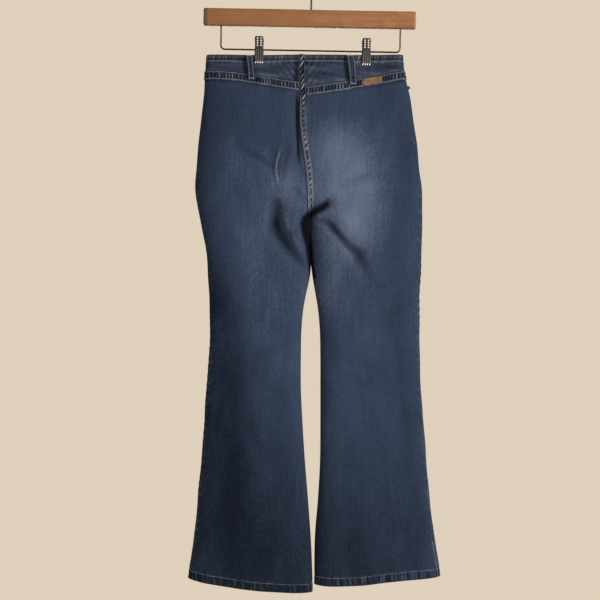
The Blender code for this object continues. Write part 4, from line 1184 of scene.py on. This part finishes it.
def belt_loop(node, side, top_x, end_x, end_drop, width):
    """A strip whose lift is a smooth curve through seven heights: sewn down, out over a belt's room, and down again."""
    start = WAIST_DROP + (3.0 if side < 0 else 0.6)
    end_lift = GAP + (STRIP + GAP if side > 0 else 0)  # behind, its end lies on the yoke seam
    knots = np.array([start, start + 3.5, start + 8, end_drop - 11, end_drop - 6, end_drop - 3, end_drop])
    lifts = np.array([GAP, 2.6, LOOP_STAND, LOOP_STAND, LOOP_STAND - 1.2, end_lift + 0.6, end_lift])
    drops = np.linspace(start, end_drop, 46)
    lift = np.convolve(np.pad(np.interp(drops, knots, lifts), 2, mode="edge"), np.ones(5) / 5, mode="valid")[:, None]
    v, drop = np.linspace(-0.5, 0.5, 15), drops[:, None]
    x = top_x + (end_x - top_x) * (drop - start) / (end_drop - start) + v * width
    base = cloth_at("left" if top_x > 0 else "right", side, x, drop, creased=False)
    edge = peak(np.abs(v) - 0.42, 0.07)
    rope = puckers(drop + 0.3 * v * width, 150, 80, 6.0, 0.3, int(abs(top_x)), 1.2)
    top = lift + LOOP_WALL + edge * 0.25 - 0.5 * peak(np.abs(v) - 0.5, 0.04) + (rope - 0.5) * 0.25
    # On the right back loop, a dark line near its end is painted shade, where the strip folds under.
    wear_and_light = 0.45 * edge + (rope - 0.5) * 0.6 * (1 - edge) - 0.8 * peak(drop - end_drop + 10.8, 1.3) * (top_x < 0 < side)
    return sewn_on("belt_" + node, node, "denim", side, base, lift, top, denim_seam, FADE_BASE - 0.14, wear_and_light)


loops = [belt_loop(*row) for row in LOOPS]
print(len(loops), "belt loops")

# %% Leather patch
PATCH_X = (-90.6, -125.6)
PATCH_HEIGHT = 12.2


def leather_patch():
    """A bare strip with rounded edges: its thickness is a superellipse over its two directions."""
    x = np.linspace(*PATCH_X, 49)
    outer_edge, inner_edge = edges("right", 214.0)
    v, w = np.linspace(-1, 1, 21)[:, None], np.linspace(-1, 1, 49)
    drop = yoke_edge("right", 1, (x - outer_edge) / (inner_edge - outer_edge)) + v * PATCH_HEIGHT / 2
    base = cloth_at("right", 1, x, drop, creased=False)
    far = np.maximum(np.abs(v) ** 10, np.abs(w) ** 26)
    under = STRIP + 2 * GAP
    wear_and_light = np.clip((np.maximum(np.abs(v) ** 8, np.abs(w) ** 20) - 0.35) * 1.4, 0, 0.9)
    top = under + 0.5 + 0.75 * (1 - far) ** 0.5
    return sewn_on("bare_patch", "leather_patch", "leather", 1, base, under, top, leather, 0.0, wear_and_light)


patch = leather_patch()
print("patch", round(PATCH_X[0] - PATCH_X[1], 1), "x", PATCH_HEIGHT, "mm")

# %% Fly lap
FLY_WIDTH = 36.0
FLY_DROPS = (212.0, 330.0)


def fly_lap():
    """The overlap of the left front. Its reach is constant, then a quarter circle brings it in at the lower corner."""
    corner = FLY_DROPS[1] - FLY_WIDTH
    swing = np.radians(np.linspace(0, 90, 22)[1:])
    drop = np.concatenate([np.linspace(FLY_DROPS[0], corner, 34), corner + FLY_WIDTH * np.sin(swing)])[:, None]
    reach = 5 + (FLY_WIDTH - 5) * np.sqrt(1 - rising(drop, corner, FLY_DROPS[1]) ** 2)
    t = np.linspace(0, 1, 25)
    base = cloth_at("left", -1, centre_line(drop) + GAP + reach * t, drop)
    wear_and_light = (puckers(drop, 200, 140, 9.0, 0.3, 71) - 0.5) * 0.5 * t**3
    names = ("lapped_fly", "fly_lap", "denim_seam")
    return sewn_on(*names, -1, base, GAP, GAP + STRIP, denim_cloth, faded_and_shaded(-1, base), wear_and_light)


fly = fly_lap()
print("fly", FLY_WIDTH, "x", FLY_DROPS[1] - FLY_DROPS[0], "mm")

# %% Shank button
BUTTON_DROP = 192.0
BUTTON_ASIDE = 12.0  # from the centre line
# Profiles are (radius, height), from the shank to the middle of the head.
BUTTON_PROFILE = (
    (3.8, 0.5), (3.8, 1.4), (8.0, 1.6), (8.5, 2.0), (8.5, 3.0), (8.1, 3.7), (7.2, 4.05), (6.2, 3.85), (5.6, 3.5),
    (3.4, 3.4), (2.6, 3.75), (1.4, 3.9),
)


def turned(name, middle, side, profile, material, sides):
    """A profile of (radius, height) turned round the Y axis at a point, with closed poles."""
    angle = np.linspace(0, 2 * math.pi, sides, endpoint=False)
    radius, rise = np.array(profile).T[:, :, None]
    ring = [radius * np.cos(angle), side * rise * np.ones(sides), radius * np.sin(angle)]
    return tube_mesh(name, np.stack(ring, -1) + middle, material)


button_x = float(centre_line(BUTTON_DROP)) + BUTTON_ASIDE
button_y = float(cloth_at("left", -1, button_x, BUTTON_DROP, creased=False)[1])
button = turned("shank_button", (button_x, button_y, -BUTTON_DROP), -1, BUTTON_PROFILE, button_metal, 40)
dress(button, "button_metal", "button")
print("button at", round(button_x, 1), round(button_y, 1), -BUTTON_DROP)

# %% [markdown]
# ## The sewing
#
# Now the thread. Along the waist, both sides of the yoke seams and the seat seam, the hems, the loops and the fly,
# each line follows a row or a column of its own piece's grid, so it lies in the puckers it makes.

# %% Lines of stitches
waist_sewing = stitches("waist_sewing", [on_piece(band, band.sewn_row) for band in bands.values()], thread, seed=3)
lines = [on_piece(seam, row) for seam in yoke_seams.values() for row in (2, 14)]
yoke_sewing = stitches("yoke_sewing", lines, thread, pitch=3.4, seed=4)
seen = seat.smooth[:, 0, 2] > -441  # below this the seam lies in the fold
lines = [on_piece(seat, np.s_[seen, column]) for column in (1, 11)]
seat_sewing = stitches("seat_sewing", lines, worn_thread, pitch=3.4, seed=5)
lines = [on_piece(panel, panel.sewn_row + 1, 0.1) for panel in panels.values()]
hem_sewing = stitches("hem_sewing", lines, worn_thread, seed=6)
lines = [on_piece(loop, np.s_[:, column]) for loop in loops for column in (2, 12)]
loop_sewing = stitches("loop_sewing", lines, thread, pitch=3.0, length=2.4, seed=7)
fly_sewing = stitches("fly_sewing", [on_piece(fly, np.s_[:, column]) for column in (19, 23)], thread, seed=8)

# %% Bar tacks, a line at the side and a knot of thread
# A bar tack is two close lines across a loop's end, each a row of the loop's own grid.
lines = [on_piece(loop, np.s_[row, 1:14], 0.15) for loop in loops for row in (1, 2, 43, 44)]
bar_tacks = stitches("bar_tacks", lines, thread, pitch=1.25, length=1.5, radius=0.42, seed=9)
side_drops = np.linspace(1040, 1092, 60)
side_line = cloth_at("right", 1, edges("right", side_drops)[0] + 6.0, side_drops)
outwards = np.tile([0.0, 1.0, 0.0], (60, 1))
stitches("side_sewing", [(side_line + 0.25 * outwards, outwards)], thread, seed=10)
KNOT_AT = (-173.6, 1.0, -226.2)
KNOT_PROFILE = ((0.6, -3.0), (2.0, -2.4), (2.9, -1.0), (3.0, 0.8), (2.1, 2.4), (0.7, 3.1))
dress(turned("thread_knot", KNOT_AT, 1, KNOT_PROFILE, brown_thread, 16), "denim_seam")

# %% [markdown]
# ## The hanger
#
# The bar is a length of wood with soft edges. A wire hook screws into its top, and a wire rail hangs under it. Two
# clips slide on the rail: each is a pair of pressed plates with a spring between them, with punched bumps on the tab
# for the thumb, ribs on the jaw and four teeth. The whole hanger leans by one degree, so its points are turned about
# the hook.

# %% Wooden bar
BAR_LENGTH, BAR_DEPTH, BAR_HEIGHT = 381.6, 14.0, 31.0
BAR_MIDDLE = 2.3
BAR_TOP = -86.2
BAR_ROUND = 3.0


def leaning(points):
    """Turns points about the Y axis through the hook, by the hanger's tilt."""
    x, y, z = points[..., 0], points[..., 1], points[..., 2]
    return np.stack([x * math.cos(TILT) + z * math.sin(TILT), y, -x * math.sin(TILT) + z * math.cos(TILT)], -1)


def wooden_bar():
    """A superellipse section swept along X, drawn in over the last 3 mm by a quarter round."""
    t = np.linspace(0, 2 * math.pi, 48, endpoint=False)
    power, half = 2 / 5.5, BAR_LENGTH / 2
    y = BAR_DEPTH / 2 * np.sign(np.cos(t)) * np.abs(np.cos(t)) ** power
    z = BAR_HEIGHT / 2 * np.sign(np.sin(t)) * np.abs(np.sin(t)) ** power
    ends = half - BAR_ROUND + BAR_ROUND * np.sin(np.linspace(0, math.pi / 2, 7))
    x = np.concatenate([-ends[::-1], np.linspace(-half + BAR_ROUND, half - BAR_ROUND, 90)[1:-1], ends])[:, None]
    inset = 2.6 * (1 - np.sqrt(1 - rising(np.abs(x), half - BAR_ROUND, half) ** 2))
    z = z * (1 - inset / (BAR_HEIGHT / 2)) + BAR_TOP - BAR_HEIGHT / 2 + 0.10 * np.sin(x / 37.0)
    points = np.stack([x + BAR_MIDDLE + 0 * y, y * (1 - inset / (BAR_DEPTH / 2)), z], -1)
    return dress(tube_mesh("wooden_bar", leaning(points), wood), "wood", "hanger_bar")


print("bar", len(wooden_bar().data.polygons), "faces")

# %% Wires
HOOK_RADIUS, HOOK_CENTRE = 22.8, -21.0
HOOK_ARC = (238, -28)  # degrees, from where the swing meets the circle to the hook's tip
STEM_END, STEM_TOP = -98.0, -52.0
SWING_LEAD = 6.5  # how far the swing keeps its direction at either end
RAIL_REACH, RAIL_DROP, RAIL_CORNER, RAIL_SUNK = 161.2, 159.2, 7.0, 12.0
HOOK_WIRE, RAIL_WIRE = 1.8, 1.5  # the wires' radii


def wire(name, path, radius, across=(0.0, 1.0, 0.0), sides=16):
    """A round tube: a ring is cos(angle) across + sin(angle) other, both square to the path and to each other."""
    way = unit(np.gradient(path, axis=0))
    across = unit(across - (across * way).sum(axis=1, keepdims=True) * way)
    angle = np.linspace(0, 2 * math.pi, sides, endpoint=False)[None, :, None]
    other = np.cross(way, across)
    rings = path[:, None] + radius * (np.cos(angle) * across[:, None] + np.sin(angle) * other[:, None])
    return tube_mesh(name, rings, steel)


def flat_path(points, closer=1.5):
    """A path in the hanger's own plane, with a point every 1.5 mm or so."""
    at = np.concatenate([[0], np.cumsum(strides(points))])
    x, z = at_length(points, at, np.linspace(0, at[-1], int(at[-1] / closer))).T
    return leaning(np.stack([x, 0 * x, z], -1))


def hook_points():
    """Up the stem, a cubic swing to one side, then most of a circle over the top."""
    arc = np.radians(np.linspace(*HOOK_ARC, 90))
    circle = np.stack([HOOK_RADIUS * np.cos(arc), HOOK_CENTRE + HOOK_RADIUS * np.sin(arc)], -1)
    begin, meet = np.array([0.0, STEM_TOP]), circle[0]
    first, last = begin + [0, SWING_LEAD], meet - SWING_LEAD * np.array([math.sin(arc[0]), -math.cos(arc[0])])
    t = np.linspace(0, 1, 20)[1:-1, None]
    swing = (1 - t) ** 3 * begin + 3 * t * (1 - t) ** 2 * first + 3 * t * t * (1 - t) * last + t**3 * meet
    return np.concatenate([[[0.0, STEM_END], [0.0, BAR_TOP], begin], swing, circle])


def rail_points():
    """Down from the bar, along under it and up again. The corners are quarter circles."""
    arc = np.linspace(0, math.pi / 2, 14)
    corner = [RAIL_REACH - RAIL_CORNER * (1 - np.cos(arc)), -RAIL_DROP + RAIL_CORNER * (1 - np.sin(arc))]
    first = np.concatenate([[[RAIL_REACH, BAR_TOP - BAR_HEIGHT + RAIL_SUNK]], np.stack(corner, -1)])
    return np.concatenate([first, (first * [-1, 1])[::-1]])


hook = dress(wire("hook_wire", flat_path(hook_points()), HOOK_WIRE), "steel", "hanger_hook")
rail = dress(wire("rail_wire", flat_path(rail_points()), RAIL_WIRE), "steel", "hanger_rail")
print("hook", len(hook.data.polygons), "faces, rail", len(rail.data.polygons), "faces")

# %% Clip plates
CLIP_ROWS = (
    (-25.3, 5.2, 0.0, 0.35, 8.0),
    (-22.0, 5.4, 0.0, 0.6, 8.0),
    (-14.0, 5.5, 0.0, 0.7, 8.0),
    (-6.5, 5.4, 0.4, 0.7, 8.0),
    (0.0, 5.4, 1.6, 0.5, 7.8),
    (4.2, 5.9, 1.6, 0.0, 7.6),
    (12.0, 8.4, 1.4, 0.0, 7.4),
    (20.8, 10.2, 0.8, 0.0, 7.4),
    (22.4, 10.4, 0.0, 0.0, 6.6),
)
clip_shape = smooth_table("up out flange rib half_width", CLIP_ROWS)
CLIP_PLATE = 0.9
TOOTH = 2.8
COIL_RADIUS, COIL_WIRE, COIL_TURNS = 2.4, 0.5, 7
BUMPS = [(x, up) for x in (-3.1, 3.1) for up in (6.6, 10.6, 14.6, 18.6)]


def jaw_plate(name, middle_x, side, node):
    """A pressed plate: its rows follow the table, four ribs are cosines across, bumps are two columns of four domes."""
    w = np.linspace(-1, 1, 49)
    up = np.concatenate([np.linspace(-25.3, 0, 48), np.linspace(0, 22.4, 44)[1:]])[:, None]
    ribs = 0.5 - 0.5 * np.cos(4 * math.pi * (w + 1))
    bent = clip_shape("flange", up) * rising(np.abs(w), 0.72, 1) ** 1.5
    x = w * clip_shape("half_width", up)
    bumps = sum(np.exp(-((((x - x0) ** 2 + (up - up0) ** 2) / 1.6) ** 1.5)) for x0, up0 in BUMPS)
    y = clip_shape("out", up) - bent + clip_shape("rib", up) * ribs + 0.7 * bumps
    # The teeth: the lowest rows rise between the ribs.
    z = up + (1 - ribs) ** 0.8 * TOOTH * rising(up, -19.5, -25.3)
    outer = np.stack([x + middle_x, y * side, z - RAIL_DROP], -1)
    inner = outer - np.array([0, CLIP_PLATE * side, 0])
    # The bumps and the tips of the teeth get a painted white glint.
    shine = np.clip(bumps * 1.4 - 0.10, 0, 1) + rising(up, -22.6, -23.4) * np.clip(ribs * 2.4 - 0.9, 0, 1)
    made = wall(name, leaning(outer), leaning(inner), [clip_steel], 0.0, np.clip(shine, 0, 1))
    return dress(made, "dark_steel", node)


def clip_spring(name, middle_x, node):
    """A coil round the rail: a helix of seven turns, each point's across direction pointing away from the rail."""
    angle = np.linspace(0, COIL_TURNS * 2 * math.pi, 150)
    away = np.stack([0 * angle, np.cos(angle), np.sin(angle)], -1)
    middle = np.stack([middle_x + np.linspace(-5.2, 5.2, 150), 0 * angle, 0 * angle - RAIL_DROP], -1)
    made = wire(name, leaning(away * COIL_RADIUS + middle), COIL_WIRE, leaning(away), sides=8)
    return dress(made, "dark_steel", node)


for leg, clip_x in CLIPS.items():
    middle_x = clip_x + (RAIL_DROP + 20) * math.sin(TILT)
    for side, word in FACE.items():
        jaw_plate(f"jaw_{leg}_{word}", middle_x, side, f"clip_{leg}_{word}")
    clip_spring(f"coil_{leg}", middle_x, f"clip_{leg}_spring")
print("clips ready")

# %% [markdown]
# ## Which leg each belt loop is on
#
# For each belt loop, its leg is found from the side on which its top lies.

for loop, (_, side, top_x, *_) in zip(loops, LOOPS):
    leg = "left" if top_x > 0 else "right"

# %% [markdown]
# ## Floor, light and camera
#
# A pale disc far below stands for the floor. A broad soft lamp at the wearer's right, level with the thighs, gives
# the side light that shows the folds, and two weaker ones fill the shadows behind and in front. The air is a warm
# cream.

# %% Floor
FLOOR_RINGS = ((550, -1306), (550, -1300), (500, -1300), (250, -1300), (60, -1300))
angle = np.linspace(0, 2 * math.pi, 96, endpoint=False)
rings = np.stack([np.stack([r * np.cos(angle), r * np.sin(angle), 0 * angle + z], -1) for r, z in FLOOR_RINGS])
floor_finish = two_tone("pale_floor", 0.8, 9.0, (0.66, 0.58, 0.46), (0.74, 0.66, 0.53), 3.0)
floor = tube_mesh("floor", rings, floor_finish)
print("floor at", FLOOR_RINGS[1][1], "mm")

# %% Light
scene = bpy.context.scene
scene.view_settings.view_transform = "Standard"
world = bpy.data.worlds.new("warm_room")
scene.world = world
world.use_nodes = True
tree = world.node_tree
seen = add(tree, "ShaderNodeLightPath", {}).outputs["Is Camera Ray"]
air = mixed(tree, seen, (0.60, 0.55, 0.48, 1), (0.735, 0.635, 0.50, 1))
paint(tree, tree.nodes["Background"], Color=air, Strength=ramp(tree, seen, 0.0, 1.0, 0.42, 1.0))

# Lamps, as name, place, size, power and colour. All of them face the thighs.
AIM = (0.0, 0.0, -0.60)
LAMPS = (
    ("window", (-2.1, 1.7, -0.30), 1.2, 92.0, (1.0, 0.97, 0.92)),
    ("fill", (1.6, 2.4, 0.4), 1.6, 16.0, (0.93, 0.96, 1.0)),
    ("front_fill", (0.4, -2.6, 0.2), 1.6, 48.0, (1.0, 0.98, 0.95)),
)
for name, place_at, size, power, colour in LAMPS:
    data = bpy.data.lights.new(name, "AREA")
    data.shape, data.size, data.energy, data.color = "SQUARE", size, power, colour
    way = np.array(AIM) - np.array(place_at)
    lean = math.atan2(math.hypot(way[0], way[1]), -way[2])
    placed(name, data, location=place_at, rotation_euler=(lean, 0.0, math.atan2(-way[0], way[1])))
print(len(LAMPS), "lamps")

# %% Camera
eye = bpy.data.cameras.new("camera")
eye.lens, eye.sensor_width = 66.67, 36.0
facing_back = (math.radians(90), 0.0, math.radians(180))
scene.camera = placed("camera", eye, location=(0.0216, 2.0, -0.6077), rotation_euler=facing_back)
print("camera 2 m behind the wearer, with a lens of", eye.lens, "mm")
